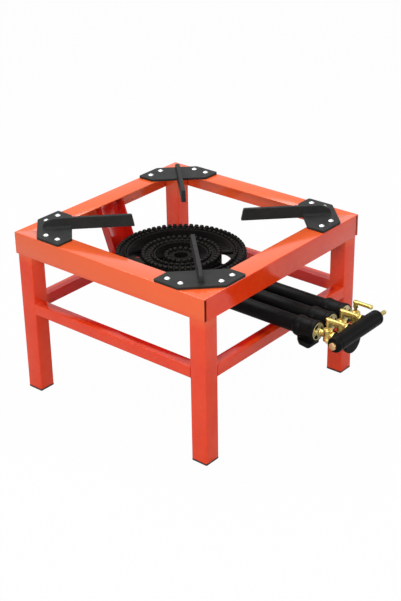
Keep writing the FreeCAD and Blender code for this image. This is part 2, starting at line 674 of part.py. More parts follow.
# ---- manifold --------------------------------------------------------------------------------
def manifold():
    """Closed pipe with three bosses for the gas cocks and a round tab below."""
    half = MAN_LEN / 2.0
    start = V(-half, MAN_Y, TUBE_Z)
    body = rod(MAN_R, start, X_AXIS, MAN_LEN)
    body = body.makeChamfer(MAN_EDGE, [e for e in body.Edges if e.Closed])
    adds = [rod(TAB_R, V(0, TAB_Y, TUBE_Z - TAB_DROP), Y_AXIS, TAB_T)]
    cuts = [rod(MAN_R - MAN_WALL, start + X_AXIS * MAN_END, X_AXIS, MAN_LEN - 2 * MAN_END)]
    for x in TUBE_X:
        adds.append(rod(MAN_BOSS_R, V(x, MAN_Y + MAN_R / 2.0, TUBE_Z), Y_AXIS,
                        MAN_BOSS_OUT - MAN_R / 2.0))
        cuts.append(rod(NIPPLE_R + THREAD_CLEAR, V(x, MAN_Y, TUBE_Z), Y_AXIS, MAN_BOSS_OUT + 1))
    body = body.fuse(adds)
    cuts.append(rod(NIPPLE_R + THREAD_CLEAR, start - X_AXIS, X_AXIS, MAN_END + 2))
    cuts.append(rod(BARB_SHANK_R + THREAD_CLEAR, V(half - MAN_END - 1, MAN_Y, TUBE_Z), X_AXIS,
                    MAN_END + 2))
    cuts.append(rod(M6_R + THREAD_CLEAR, V(0, TAB_Y + 1, ARM_BOLT_Z), Y_AXIS, TAB_T))
    return one_solid(body.cut(Part.makeCompound(cuts)))


def manifold_plug():
    face = V(-MAN_LEN / 2.0, MAN_Y, TUBE_Z)
    head = hexagon(PLUG_AF, face - X_AXIS * PLUG_H, X_AXIS, PLUG_H, Z_AXIS)
    shank = rod(NIPPLE_R, face, X_AXIS, MAN_END)
    return one_solid(head.fuse(shank))


def hose_barb():
    """Screwed hose tail: hexagon, two grip ridges and a plain nose."""
    face = V(MAN_LEN / 2.0, MAN_Y, TUBE_Z)
    parts = [rod(BARB_SHANK_R, face - X_AXIS * MAN_END, X_AXIS, MAN_END),
             hexagon(BARB_AF, face, X_AXIS, BARB_HEX, Z_AXIS)]
    ridge = face + X_AXIS * BARB_HEX
    for k in range(2):
        parts.append(Part.makeCone(BARB_RIDGE_R, BARB_R, BARB_RIDGE_LEN,
                                   ridge + X_AXIS * (BARB_RIDGE_LEN * k), X_AXIS))
    nose = ridge + X_AXIS * (2 * BARB_RIDGE_LEN)
    parts.append(rod(BARB_R, nose, X_AXIS, BARB_LEN))
    parts.append(Part.makeCone(BARB_R, BARB_R - 0.8, 1.0, nose + X_AXIS * BARB_LEN, X_AXIS))
    body = parts[0].fuse(parts[1:])
    bore = rod(BARB_BORE, face - X_AXIS * (MAN_END + 1), X_AXIS, MAN_END + BARB_LEN + 20)
    return one_solid(body.cut(bore))


# ---- gas cocks -------------------------------------------------------------------------------
def cock_body(x):
    """Plug cock: screwed nipple, hexagon, upright barrel and outlet."""
    inlet = MAN_Y + MAN_BOSS_OUT
    stem = V(x, STEM_Y, TUBE_Z)
    body = rod(NIPPLE_R, V(x, inlet - NIPPLE_LEN, TUBE_Z), Y_AXIS, NIPPLE_LEN)
    parts = [hexagon(COCK_HEX_AF, V(x, inlet, TUBE_Z), Y_AXIS, COCK_HEX_LEN, Z_AXIS),
             rod(COCK_R, V(x, inlet + COCK_HEX_LEN, TUBE_Z), Y_AXIS,
                 STEM_Y - inlet - COCK_HEX_LEN),
             rod(COCK_OUT_R, stem, Y_AXIS, COCK_OUT),
             rod(BARREL_R, stem - Z_AXIS * BARREL_DOWN, Z_AXIS, BARREL_UP + BARREL_DOWN)]
    body = body.fuse(parts)
    seat = Part.makeCone(CONE_LOW_R + CONE_CLEAR, CONE_TOP_R + CONE_CLEAR,
                         BARREL_UP + BARREL_DOWN, stem - Z_AXIS * BARREL_DOWN, Z_AXIS)
    bore = rod(GAS_BORE, V(x, inlet - NIPPLE_LEN - 1, TUBE_Z), Y_AXIS,
               STEM_Y + COCK_OUT - inlet + NIPPLE_LEN + 2)
    return one_solid(body.cut(Part.makeCompound([seat])).cut(bore))


def cock_plug(x):
    """Tapered plug with its stem above and a threaded stud below."""
    stem = V(x, STEM_Y, TUBE_Z)
    low = stem - Z_AXIS * BARREL_DOWN
    high = stem + Z_AXIS * BARREL_UP
    body = Part.makeCone(CONE_LOW_R, CONE_TOP_R, BARREL_UP + BARREL_DOWN, low, Z_AXIS)
    parts = [rod(STUD_R, low - Z_AXIS * STUD_LEN, Z_AXIS, STUD_LEN),
             rod(STEM_R, high, Z_AXIS, STEM_H + SLEEVE_H + SOCKET)]
    body = body.fuse(parts)
    bore = rod(GAS_BORE, V(x, STEM_Y - BARREL_R, TUBE_Z), Y_AXIS, 2 * BARREL_R)
    return one_solid(body.cut(bore))


def cock_nut(x):
    """Washer and nut that hold the plug down in its barrel."""
    under = V(x, STEM_Y, TUBE_Z - BARREL_DOWN - RUN_GAP)
    washer = rod(WASHER_R, under - Z_AXIS * WASHER_T, Z_AXIS, WASHER_T)
    nut = hexagon(NUT_AF, under - Z_AXIS * (WASHER_T + NUT_H), Z_AXIS, NUT_H, X_AXIS)
    hole = rod(STUD_R + THREAD_CLEAR, under - Z_AXIS * (WASHER_T + NUT_H + 1), Z_AXIS,
               WASHER_T + NUT_H + 2)
    return Part.makeCompound([washer.cut(hole), nut.cut(hole)])


def lever(x):
    """Round-ended bar that points forward when the cock is open."""
    foot = TUBE_Z + BARREL_UP + STEM_H
    bar_z = foot + SLEEVE_H
    sleeve = rod(SLEEVE_R, V(x, STEM_Y, foot), Z_AXIS, SLEEVE_H)
    middle = box(x - LEVER_R, x + LEVER_R, STEM_Y - LEVER_LEN, STEM_Y, bar_z, bar_z + LEVER_H)
    back = rod(LEVER_R + 0.5, V(x, STEM_Y, bar_z), Z_AXIS, LEVER_H)
    tip = rod(LEVER_R, V(x, STEM_Y - LEVER_LEN, bar_z), Z_AXIS, LEVER_H)
    body = middle.fuse([back, tip, sleeve])
    hole = rod(STEM_R + STEM_CLEAR, V(x, STEM_Y, foot - 1), Z_AXIS, SLEEVE_H + SOCKET + 1.2)
    return one_solid(body.cut(hole))


def jet(x):
    """Injector: hexagon at the cock's outlet and a nose that enters the bell."""
    seat = V(x, STEM_Y + COCK_OUT, TUBE_Z)
    body = hexagon(JET_AF, seat, Y_AXIS, JET_HEX, Z_AXIS)
    nose = seat + Y_AXIS * JET_HEX
    body = body.fuse([rod(JET_R, nose, Y_AXIS, JET_LEN),
                      Part.makeCone(JET_R, JET_R * 0.5, 2.0, nose + Y_AXIS * JET_LEN, Y_AXIS)])
    wide = rod(GAS_BORE, seat - Y_AXIS, Y_AXIS, JET_HEX + JET_LEN - 1)
    fine = rod(JET_BORE, seat, Y_AXIS, JET_HEX + JET_LEN + 4)
    return one_solid(body.cut(wide.fuse(fine)))


def air_shutter(x):
    """Thin disc with three windows that turns on the injector in the bell's mouth."""
    back = MOUTH_Y + SPIDER_SET - RUN_GAP
    front = STEM_Y + COCK_OUT + JET_HEX + RUN_GAP
    plate = rod(DISC_R, V(x, back - DISC_T, TUBE_Z), Y_AXIS, DISC_T)
    hub = rod(HUB_R, V(x, front, TUBE_Z), Y_AXIS, back - DISC_T - front)
    body = plate.fuse(hub)
    body = body.cut(windows(back - DISC_T - 1, DISC_T + 2, x))
    eye = rod(JET_R + DISC_CLEAR, V(x, front - 1, TUBE_Z), Y_AXIS, back - front + 2)
    return one_solid(body.cut(eye))


# ---- the parts -------------------------------------------------------------------------------
def build():
    shapes = {}
    holes = rivet_holes()
    open_rail = rail(True)
    side_rail = rail(False)
    for name, blank, angle in (("rail_front", open_rail, 0), ("rail_right", side_rail, 90),
                               ("rail_rear", open_rail, 180), ("rail_left", side_rail, 270)):
        shapes[name] = one_solid(turned(blank, angle).cut(holes))
    for name, angle in (("stretcher_right", 90), ("stretcher_rear", 180), ("stretcher_left", 270)):
        shapes[name] = turned(stretcher(False), angle)
    shapes["stretcher_front"] = stretcher(True)
    for tag, sx, sy in (("fl", -1, -1), ("fr", 1, -1), ("rr", 1, 1), ("rl", -1, 1)):
        shapes["leg_" + tag] = leg(sx, sy)
        shapes["foot_cap_" + tag] = foot_cap(sx, sy)
    casting = trivet()
    for tag, angle in (("fl", 0), ("fr", 90), ("rr", 180), ("rl", 270)):
        shapes["trivet_" + tag] = one_solid(turned(casting, angle).cut(holes))
    shapes["trivet_rivets"] = rivets()

    shapes["burner_base"] = burner_base()
    shapes["ring_outer"] = outer_head()
    shapes["ring_middle"] = one_solid(ring_head(MIDDLE, True))
    shapes["ring_inner"] = one_solid(ring_head(INNER, False))
    shapes["burner_bracket"] = bracket()
    shapes["bracket_bolt"] = bracket_bolt()
    shapes["foot_bolt"] = foot_bolt()

    shapes["manifold"] = manifold()
    shapes["manifold_plug"] = manifold_plug()
    shapes["hose_barb"] = hose_barb()
    shapes["carrier_bolt"] = carrier_bolt()
    for k, x in enumerate(TUBE_X, start=1):
        shapes["cock_body_%d" % k] = cock_body(x)
        shapes["cock_plug_%d" % k] = cock_plug(x)
        shapes["cock_nut_%d" % k] = cock_nut(x)
        shapes["lever_%d" % k] = lever(x)
        shapes["jet_%d" % k] = jet(x)
        shapes["air_shutter_%d" % k] = air_shutter(x)
    return shapes


def main():
    os.makedirs("parts", exist_ok=True)
    shapes = build()
    for name in sorted(shapes):
        shape = shapes[name]
        box_ = shape.BoundBox
        print("%-18s solids %2d valid %s x %.1f..%.1f y %.1f..%.1f z %.1f..%.1f" % (
            name, len(shape.Solids), shape.isValid(), box_.XMin, box_.XMax, box_.YMin, box_.YMax,
            box_.ZMin, box_.ZMax))
        shape.exportStep("parts/%s.step" % name)
    print("nodes", len(shapes))


main()
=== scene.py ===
"""Looks of a low square gas stand with a cast three-ring burner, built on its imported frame."""
import logging
import math
import random
from contextlib import contextmanager
from dataclasses import dataclass
from enum import Enum
from typing import Any, Callable, Iterator, Mapping, Optional, Sequence, Union

import bmesh
import bpy
from mathutils import Matrix, Vector


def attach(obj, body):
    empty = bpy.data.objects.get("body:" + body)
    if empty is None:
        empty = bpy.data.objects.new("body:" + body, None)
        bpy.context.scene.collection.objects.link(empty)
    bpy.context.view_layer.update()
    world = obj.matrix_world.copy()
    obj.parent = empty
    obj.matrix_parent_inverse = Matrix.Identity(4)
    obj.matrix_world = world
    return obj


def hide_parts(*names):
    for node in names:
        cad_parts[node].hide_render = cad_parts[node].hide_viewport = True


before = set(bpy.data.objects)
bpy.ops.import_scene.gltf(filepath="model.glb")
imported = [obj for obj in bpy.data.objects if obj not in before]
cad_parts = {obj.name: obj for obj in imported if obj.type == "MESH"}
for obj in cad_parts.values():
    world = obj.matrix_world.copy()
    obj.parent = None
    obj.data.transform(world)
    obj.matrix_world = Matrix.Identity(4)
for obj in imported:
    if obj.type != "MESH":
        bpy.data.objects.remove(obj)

LOG = logging.getLogger("gas_stand")
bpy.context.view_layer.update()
MM = 0.001
Point2 = tuple[float, float]
Point3 = tuple[float, float, float]
Colour = tuple[float, float, float]
FaceRule = Callable[[Vector, Vector], bool]
MoveRule = Callable[[Vector], Vector]
STAND = "stand"

# Driving dimensions that several assemblies share, in millimetres.
FRAME_SIDE = 400.0          # outside of the square top frame
FRAME_TOP = 290.0
LEG_FACE = 198.0            # outer faces of the legs and stretchers from the stand's axis
BAR = 20.0                  # side of the stretchers' square tube
BAR_TOP = 167.0
TUBE_AXIS = 199.0           # axis of the mixing tubes, cocks and gas pipe above the floor
TUBE_PITCH = 37.0
MOUTH = -289.0              # face of the bells
GAS_PIPE = -333.0           # axis of the gas pipe
INLET = GAS_PIPE + 14.0     # face of the gas pipe's bosses
COCK_AXIS = MOUTH - 18.0
OUTLET = COCK_AXIS + 12.0   # end of a cock's body
JET_HEAD = 3.4              # thickness of an injector's hexagon
BASE = TUBE_AXIS + 4.0      # underside of the troughs
BURNER_Y = 17.0             # centre of the rings
NUB_PITCH = 9.4             # from nub to nub round a ring
EAR_END = 149.0
EAR_BOLT = 137.0
FOOT_BOLT = BAR / 2.0 - LEG_FACE    # axis of the bolt through the front stretcher
CARRIER_LEVEL = TUBE_AXIS - 30.0    # axis of the bolt between the burner's arm and the gas pipe
WINDOW = (6.4, 12.4)        # inner and outer radius of the air windows
WINDOW_SPREAD = 56.0        # angle of one air window in degrees


class Slot(Enum):
    """The record's material slots."""

    RED = "red_paint"
    FOOT = "foot_plastic"
    BLACK = "black_paint"
    RIVET = "rivet_aluminium"
    IRON = "cast_iron"
    ZINC = "zinc_steel"
    BRASS = "brass"
    YELLOW = "yellow_zinc"


class Direction(Enum):
    """A direction along one axis of the stand."""

    X = (1.0, 0.0, 0.0)
    Y = (0.0, 1.0, 0.0)
    Z = (0.0, 0.0, 1.0)

    @property
    def vector(self) -> Vector:
        """The direction itself."""
        return Vector(self.value)

    @property
    def radial(self) -> Vector:
        """The direction, square to this one, in which a turned profile is drawn."""
        return Vector((0.0, 0.0, 1.0)) if self is Direction.X else Vector((1.0, 0.0, 0.0))


class Plane(Enum):
    """The plane of a flat outline: its first and second directions and its normal."""

    PLAN = (Direction.X, Direction.Y, Direction.Z)
    SIDE = (Direction.Y, Direction.Z, Direction.X)
    FRONT = (Direction.X, Direction.Z, Direction.Y)

    @property
    def normal(self) -> Vector:
        """The direction in which the outline gets its thickness."""
        return self.value[2].vector

    def point(self, a: float, b: float, at: float) -> Vector:
        """The point of the stand at (a, b) in the plane and at along its normal."""
        u, v, n = (d.vector for d in self.value)
        return u * a + v * b + n * at


# ---- outlines -------------------------------------------------------------------------------
def rounded(points: Sequence[Point2], radii: Union[float, Sequence[float]],
            steps: int = 4) -> list[Point2]:
    """Rounds the corners of a closed outline.

    Args:
        points: corners in order.
        radii: one radius, or one for each corner; 0 leaves a corner sharp.
        steps: parts of each arc.

    Returns:
        The outline with its arcs.
    """
    count = len(points)
    sizes = [radii] * count if isinstance(radii, (int, float)) else list(radii)
    made: list[Point2] = []
    for k, radius in enumerate(sizes):
        corner = Vector(points[k])
        if radius <= 0.0:
            made.append((corner.x, corner.y))
            continue
        back = (Vector(points[k - 1]) - corner).normalized()
        ahead = (Vector(points[(k + 1) % count]) - corner).normalized()
        half = back.angle(ahead) / 2.0
        reach = radius / math.tan(half)
        middle = corner + (back + ahead).normalized() * (radius / math.sin(half))
        first = corner + back * reach - middle
        last = corner + ahead * reach - middle
        turn = math.atan2(first.cross(last), first.dot(last))
        for s in range(steps + 1):
            a = turn * s / steps
            spot = middle + Matrix.Rotation(a, 2) @ first
            made.append((spot.x, spot.y))
    return made


def rectangle(a0: float, a1: float, b0: float, b1: float) -> list[Point2]:
    """Corners of an upright rectangle."""
    return [(a0, b0), (a1, b0), (a1, b1), (a0, b1)]


def circle(radius: float, centre: Point2 = (0.0, 0.0), count: int = 48) -> list[Point2]:
    """Points of a circle."""
    return [(centre[0] + radius * math.cos(math.tau * k / count),
             centre[1] + radius * math.sin(math.tau * k / count)) for k in range(count)]


def hexagon(across_flats: float, centre: Point2, turn: float = 0.0) -> list[Point2]:
    """Corners of a hexagon; turn is the angle of its first corner in degrees."""
    corner = across_flats / math.sqrt(3.0)
    return [(centre[0] + corner * math.cos(math.radians(turn + 60.0 * k)),
             centre[1] + corner * math.sin(math.radians(turn + 60.0 * k))) for k in range(6)]


def sector(inner: float, outer: float, middle: float, spread: float, centre: Point2,
           steps: int = 10) -> list[Point2]:
    """Outline of a part of a ring.

    Args:
        inner: inner radius.
        outer: outer radius.
        middle: direction of its middle in degrees.
        spread: its whole angle in degrees.
        centre: centre of the ring.
        steps: parts of each arc.

    Returns:
        The outline's points.
    """
    made: list[Point2] = []
    for radius, way in ((inner, 1), (outer, -1)):
        for s in range(steps + 1):
            a = math.radians(middle + way * spread * (s / steps - 0.5))
            made.append((centre[0] + radius * math.cos(a), centre[1] + radius * math.sin(a)))
    return made


# ---- the bench ------------------------------------------------------------------------------
class Workpiece:
    """One mesh on the bench. Sizes are in millimetres, and its object stays at the origin."""

    def __init__(self, obj: bpy.types.Object, name: str) -> None:
        """Takes a new object under a name and puts its place into its mesh."""
        self.obj = obj
        obj.name = name
        obj.data.name = name
        self.settle()

    @staticmethod
    def clear() -> None:
        """Leaves edit mode and deselects everything."""
        if bpy.context.object is not None and bpy.context.object.mode != "OBJECT":
            bpy.ops.object.mode_set(mode="OBJECT")
        bpy.ops.object.select_all(action="DESELECT")

    def pick(self) -> None:
        """Selects this piece alone."""
        self.clear()
        self.obj.select_set(True)
        bpy.context.view_layer.objects.active = self.obj

    def settle(self) -> None:
        """Moves the object's place, turn and scale into its mesh."""
        self.pick()
        bpy.ops.object.transform_apply(location=True, rotation=True, scale=True)

    @contextmanager
    def bench(self, kind: str = "VERT") -> Iterator[bmesh.types.BMesh]:
        """Opens the piece for mesh work, with nothing selected in it.

        Args:
            kind: what is selected: VERT, EDGE or FACE.

        Returns:
            The edit mesh.
        """
        self.pick()
        bpy.ops.object.mode_set(mode="EDIT")
        bpy.ops.mesh.select_mode(type=kind)
        bpy.ops.mesh.select_all(action="DESELECT")
        yield bmesh.from_edit_mesh(self.obj.data)
        bpy.ops.object.mode_set(mode="OBJECT")

    def face_out(self) -> None:
        """Merges doubles and turns all faces outwards."""
        with self.bench():
            bpy.ops.mesh.select_all(action="SELECT")
            bpy.ops.mesh.remove_doubles(threshold=2e-6)
            bpy.ops.mesh.normals_make_consistent(inside=False)

    # -- blanks
    @classmethod
    def block(cls, name: str, low: Point3, high: Point3) -> "Workpiece":
        """A block between two corners."""
        cls.clear()
        a, b = Vector(low) * MM, Vector(high) * MM
        bpy.ops.mesh.primitive_cube_add(size=1.0, location=(a + b) / 2.0, scale=b - a)
        return cls(bpy.context.object, name)

    @classmethod
    def outline(cls, name: str, points: Sequence[Vector], filled: bool) -> "Workpiece":
        """A closed outline through points, as a face or as edges alone."""
        cls.clear()
        bpy.ops.mesh.primitive_circle_add(vertices=len(points), radius=0.05,
                                          fill_type="NGON" if filled else "NOTHING")
        obj = bpy.context.object
        for vertex, point in zip(obj.data.vertices, points):
            vertex.co = point * MM
        return cls(obj, name)

    @classmethod
    def plate(cls, name: str, shape: Sequence[Point2], plane: Plane, at: float,
              thickness: float) -> "Workpiece":
        """A flat outline extruded along its plane's normal.

        Args:
            name: the piece's name.
            shape: outline in the plane.
            plane: the plane that it is drawn in.
            at: where it starts along the normal.
            thickness: how far it is extruded.

        Returns:
            The closed piece.
        """
        piece = cls.outline(name, [plane.point(a, b, at) for a, b in shape], True)
        piece.extrude(plane.normal * thickness)
        piece.face_out()
        return piece

    @classmethod
    def turned(cls, name: str, profile: Sequence[Point2], centre: Point3, axis: Direction,
               steps: int = 48, closed: bool = False) -> "Workpiece":
        """Turns a profile a full turn about an axis.

        Args:
            name: the piece's name.
            profile: (radius, distance along the axis from the centre) points in order.
            centre: a point on the axis.
            axis: the axis.
            steps: flats in the full turn.
            closed: whether the profile's last point joins its first.

        Returns:
            The turned piece.
        """
        middle = Vector(centre)
        points = [middle + axis.radial * r + axis.vector * a for r, a in profile]
        piece = cls.outline(name, points, False)
        with piece.bench("EDGE") as mesh:
            if not closed:
                mesh.verts.ensure_lookup_table()
                ends = (mesh.verts[0], mesh.verts[len(points) - 1])
                for edge in mesh.edges:
                    edge.select_set(set(edge.verts) == set(ends))
                bpy.ops.mesh.delete(type="EDGE")
            bpy.ops.mesh.select_all(action="SELECT")
            bpy.ops.mesh.spin(steps=steps, dupli=False, angle=math.tau, use_auto_merge=True,
                              center=tuple(middle * MM), axis=axis.value)
        piece.face_out()
        return piece

    # -- shaping
    def choose(self, mesh: bmesh.types.BMesh, rule: Optional[FaceRule]) -> None:
        """Selects the faces whose centre and normal pass the rule, or everything."""
        if rule is None:
            bpy.ops.mesh.select_all(action="SELECT")
            return
        for face in mesh.faces:
            face.select_set(rule(face.calc_center_median() / MM, face.normal))
        bmesh.update_edit_mesh(self.obj.data)

    def extrude(self, offset: Vector, rule: Optional[FaceRule] = None) -> None:
        """Extrudes the chosen faces by an offset."""
        with self.bench("FACE") as mesh:
            self.choose(mesh, rule)
            bpy.ops.mesh.extrude_region_move(
                TRANSFORM_OT_translate={"value": tuple(offset * MM)})

    def inset(self, width: float, rule: FaceRule) -> None:
        """Insets the chosen faces by a width."""
        with self.bench("FACE") as mesh:
            self.choose(mesh, rule)
            bpy.ops.mesh.inset(thickness=width * MM, depth=0.0)

    def bisect(self, point: Point3, away: Point3) -> None:
        """Cuts at a plane, removes the side that away points to and closes the cut."""
        with self.bench():
            bpy.ops.mesh.select_all(action="SELECT")
            bpy.ops.mesh.bisect(plane_co=tuple(Vector(point) * MM),
                                plane_no=tuple(Vector(away).normalized()),
                                use_fill=True, clear_outer=True, threshold=1e-7)

    def move_points(self, rule: MoveRule) -> None:
        """Moves every point of the mesh by a rule, in millimetres."""
        for vertex in self.obj.data.vertices:
            vertex.co = rule(vertex.co / MM) * MM

    def ring_of(self, count: int, centre: Point3) -> None:
        """Repeats the piece evenly round an upright axis."""
        with self.bench():
            bpy.ops.mesh.select_all(action="SELECT")
            bpy.ops.mesh.spin(steps=count - 1, dupli=True, angle=math.tau * (count - 1) / count,
                              center=tuple(Vector(centre) * MM), axis=(0.0, 0.0, 1.0))

    def twin(self, name: str, turn: float,
             shift: Point3 = (0.0, 0.0, 0.0)) -> "Workpiece":
        """A copy with its own mesh, turned about the stand's upright axis and moved.

        Args:
            name: the copy's name.
            turn: degrees about +Z.
            shift: how far it moves afterwards.

        Returns:
            The copy.
        """
        self.pick()
        bpy.ops.object.duplicate(linked=False)
        obj = bpy.context.object
        obj.rotation_euler[2] = math.radians(turn)
        obj.location = Vector(shift) * MM
        return Workpiece(obj, name)

    def take(self, *others: "Workpiece") -> "Workpiece":
        """Joins other pieces into this one and returns it."""
        self.pick()
        for other in others:
            other.obj.select_set(True)
        bpy.ops.object.join()
        return self

    # -- modifiers, applied at once
    def apply(self, kind: str, **settings: Any) -> None:
        """Adds a modifier with its settings and applies it."""
        self.pick()
        modifier = self.obj.modifiers.new(kind.title(), kind)
        for key, value in settings.items():
            setattr(modifier, key, value)
        bpy.ops.object.modifier_apply(modifier=modifier.name)

    def bevel(self, width: float, segments: int = 2, degrees: float = 30.0) -> None:
        """Rounds the edges that are sharper than an angle."""
        self.apply("BEVEL", width=width * MM, segments=segments, limit_method="ANGLE",
                   angle_limit=math.radians(degrees))

    def cut(self, tool: "Workpiece") -> None:
        """Takes another piece's shape out of this one and uses that piece up."""
        self.apply("BOOLEAN", operation="DIFFERENCE", solver="EXACT", object=tool.obj)
        bpy.data.objects.remove(tool.obj, do_unlink=True)

    def cast(self, grain: float, soften: int, keep: float = 1.0) -> None:
        """Runs the shapes of a piece together as in a mould, with soft inner corners.

        Args:
            grain: size of the mesh's cells.
            soften: smoothing passes.
            keep: share of the faces kept at the end.
        """
        self.apply("REMESH", mode="VOXEL", voxel_size=grain * MM)
        self.apply("SMOOTH", factor=0.5, iterations=soften)
        if keep < 1.0:
            self.apply("DECIMATE", ratio=keep)

    def smooth(self, degrees: float = 40.0) -> None:
        """Shades smooth, apart from edges sharper than an angle."""
        self.pick()
        bpy.ops.object.shade_smooth_by_angle(angle=math.radians(degrees))

    def fit(self, body: str, slot: Slot, finish: "Finish", *nodes: str) -> None:
        """Dresses the piece, rides it on its body and lets it stand for CAD nodes.

        Args:
            body: the body that it moves with.
            slot: the record's material slot; not used.
            finish: its finish.
            nodes: the CAD nodes that it stands for.
        """
        self.obj.data.materials.clear()
        self.obj.data.materials.append(finish.material())
        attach(self.obj, body)
        if nodes:
            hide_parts(*nodes)
        LOG.info("%-22s %6d faces on %s", self.obj.name, len(self.obj.data.polygons), body)


# ---- shader maths ---------------------------------------------------------------------------
Number = Union[float, "Value"]


class Value:
    """A shader socket that Python's operators work on."""

    def __init__(self, sheet: "NodeSheet", socket: bpy.types.NodeSocket) -> None:
        """Wraps an output socket of a sheet."""
        self.sheet = sheet
        self.socket = socket

    def __add__(self, other: Number) -> "Value":
        """Sum."""
        return self.sheet.maths("ADD", self, other)

    def __mul__(self, other: Number) -> "Value":
        """Product."""
        return self.sheet.maths("MULTIPLY", self, other)

    def __sub__(self, other: Number) -> "Value":
        """Difference."""
        return self.sheet.maths("SUBTRACT", self, other)

    def __rsub__(self, other: float) -> "Value":
        """Difference from a number."""
        return self.sheet.maths("SUBTRACT", other, self)


class NodeSheet:
    """The node sheet of one material."""

    def __init__(self, name: str) -> None:
        """Starts an empty sheet with its output node."""
        self.made = bpy.data.materials.new(name)
        self.made.use_nodes = True
        self.tree = self.made.node_tree
        self.tree.nodes.clear()
        self.end = self.tree.nodes.new("ShaderNodeOutputMaterial")

    def node(self, kind: str, settings: Optional[Mapping[str, Any]] = None,
             inputs: Optional[Mapping[Union[int, str], Any]] = None,
             output: Union[int, str] = 0) -> Value:
        """Adds any node.

        Args:
            kind: the node's type.
            settings: its settings.
            inputs: a number, colour or Value for each socket, by name or index.
            output: the output that is returned.

        Returns:
            The output socket.
        """
        made = self.tree.nodes.new(kind)
        for key, value in (settings or {}).items():
            setattr(made, key, value)
        for key, value in (inputs or {}).items():
            if isinstance(value, Value):
                self.tree.links.new(value.socket, made.inputs[key])
            elif isinstance(value, tuple) and made.inputs[key].type == "RGBA":
                made.inputs[key].default_value = (*value, 1.0)
            else:
                made.inputs[key].default_value = value
        return Value(self, made.outputs[output])

    def maths(self, operation: str, *values: Number) -> Value:
        """A Math node on numbers and values."""
        return self.node("ShaderNodeMath", {"operation": operation}, dict(enumerate(values)))

    def place(self, stretch: Point3 = (1.0, 1.0, 1.0)) -> Value:
        """The piece's own coordinates, stretched along each axis."""
        here = self.node("ShaderNodeTexCoord", output="Object")
        if stretch == (1.0, 1.0, 1.0):
            return here
        return self.node("ShaderNodeMapping", inputs={"Vector": here, "Scale": stretch})

    def along(self, axis: str) -> Value:
        """The piece's own coordinate along an axis, in millimetres."""
        return self.node("ShaderNodeSeparateXYZ", inputs={"Vector": self.place()},
                         output=axis) * (1.0 / MM)

    def noise(self, size: float, detail: float = 2.0, rough: float = 0.5,
              stretch: Point3 = (1.0, 1.0, 1.0)) -> Value:
        """Cloudy noise from 0 to 1 with patches of about a size in millimetres."""
        return self.node("ShaderNodeTexNoise", inputs={
            "Vector": self.place(stretch), "Scale": 1.0 / (size * MM), "Detail": detail,
            "Roughness": rough})

    def cells(self, size: float) -> Value:
        """Distance to the nearest of scattered points, for pits and grains."""
        return self.node("ShaderNodeTexVoronoi", inputs={
            "Vector": self.place(), "Scale": 1.0 / (size * MM)})

    def step(self, value: Value, low: float, high: float) -> Value:
        """0 at low, 1 at high, straight between and held beyond; low may be the greater."""
        return self.node("ShaderNodeMapRange", {"clamp": True}, {
            "Value": value, "From Min": low, "From Max": high})

    def mix(self, factor: Number, first: Union[Colour, Value],
            second: Union[Colour, Value]) -> Value:
        """A colour between two."""
        return self.node("ShaderNodeMix", {"data_type": "RGBA"},
                         {0: factor, 6: first, 7: second}, 2)

    def bump(self, height: Value, strength: float, depth: float) -> Value:
        """A normal from a height; depth is in millimetres."""
        return self.node("ShaderNodeBump", inputs={
            "Height": height, "Strength": strength, "Distance": depth * MM})

    def surface(self, **sockets: Any) -> bpy.types.Material:
        """Ends the sheet with a Principled surface.

        Args:
            sockets: its inputs, with _ for each space in a name.

        Returns:
            The material.
        """
        shader = self.node("ShaderNodeBsdfPrincipled",
                           inputs={k.replace("_", " "): v for k, v in sockets.items()})
        self.tree.links.new(shader.socket, self.end.inputs["Surface"])
        return self.made


# ---- finishes -------------------------------------------------------------------------------
@dataclass(frozen=True)
class Finish:
    """A surface finish; its material is made once and shared."""

    name: str

    def material(self) -> bpy.types.Material:
        """The finish's material."""
        found = bpy.data.materials.get(self.name)
        return found if found is not None else self.dress(NodeSheet(self.name))

    def dress(self, sheet: NodeSheet) -> bpy.types.Material:
        """Builds the material on an empty sheet."""
        raise NotImplementedError


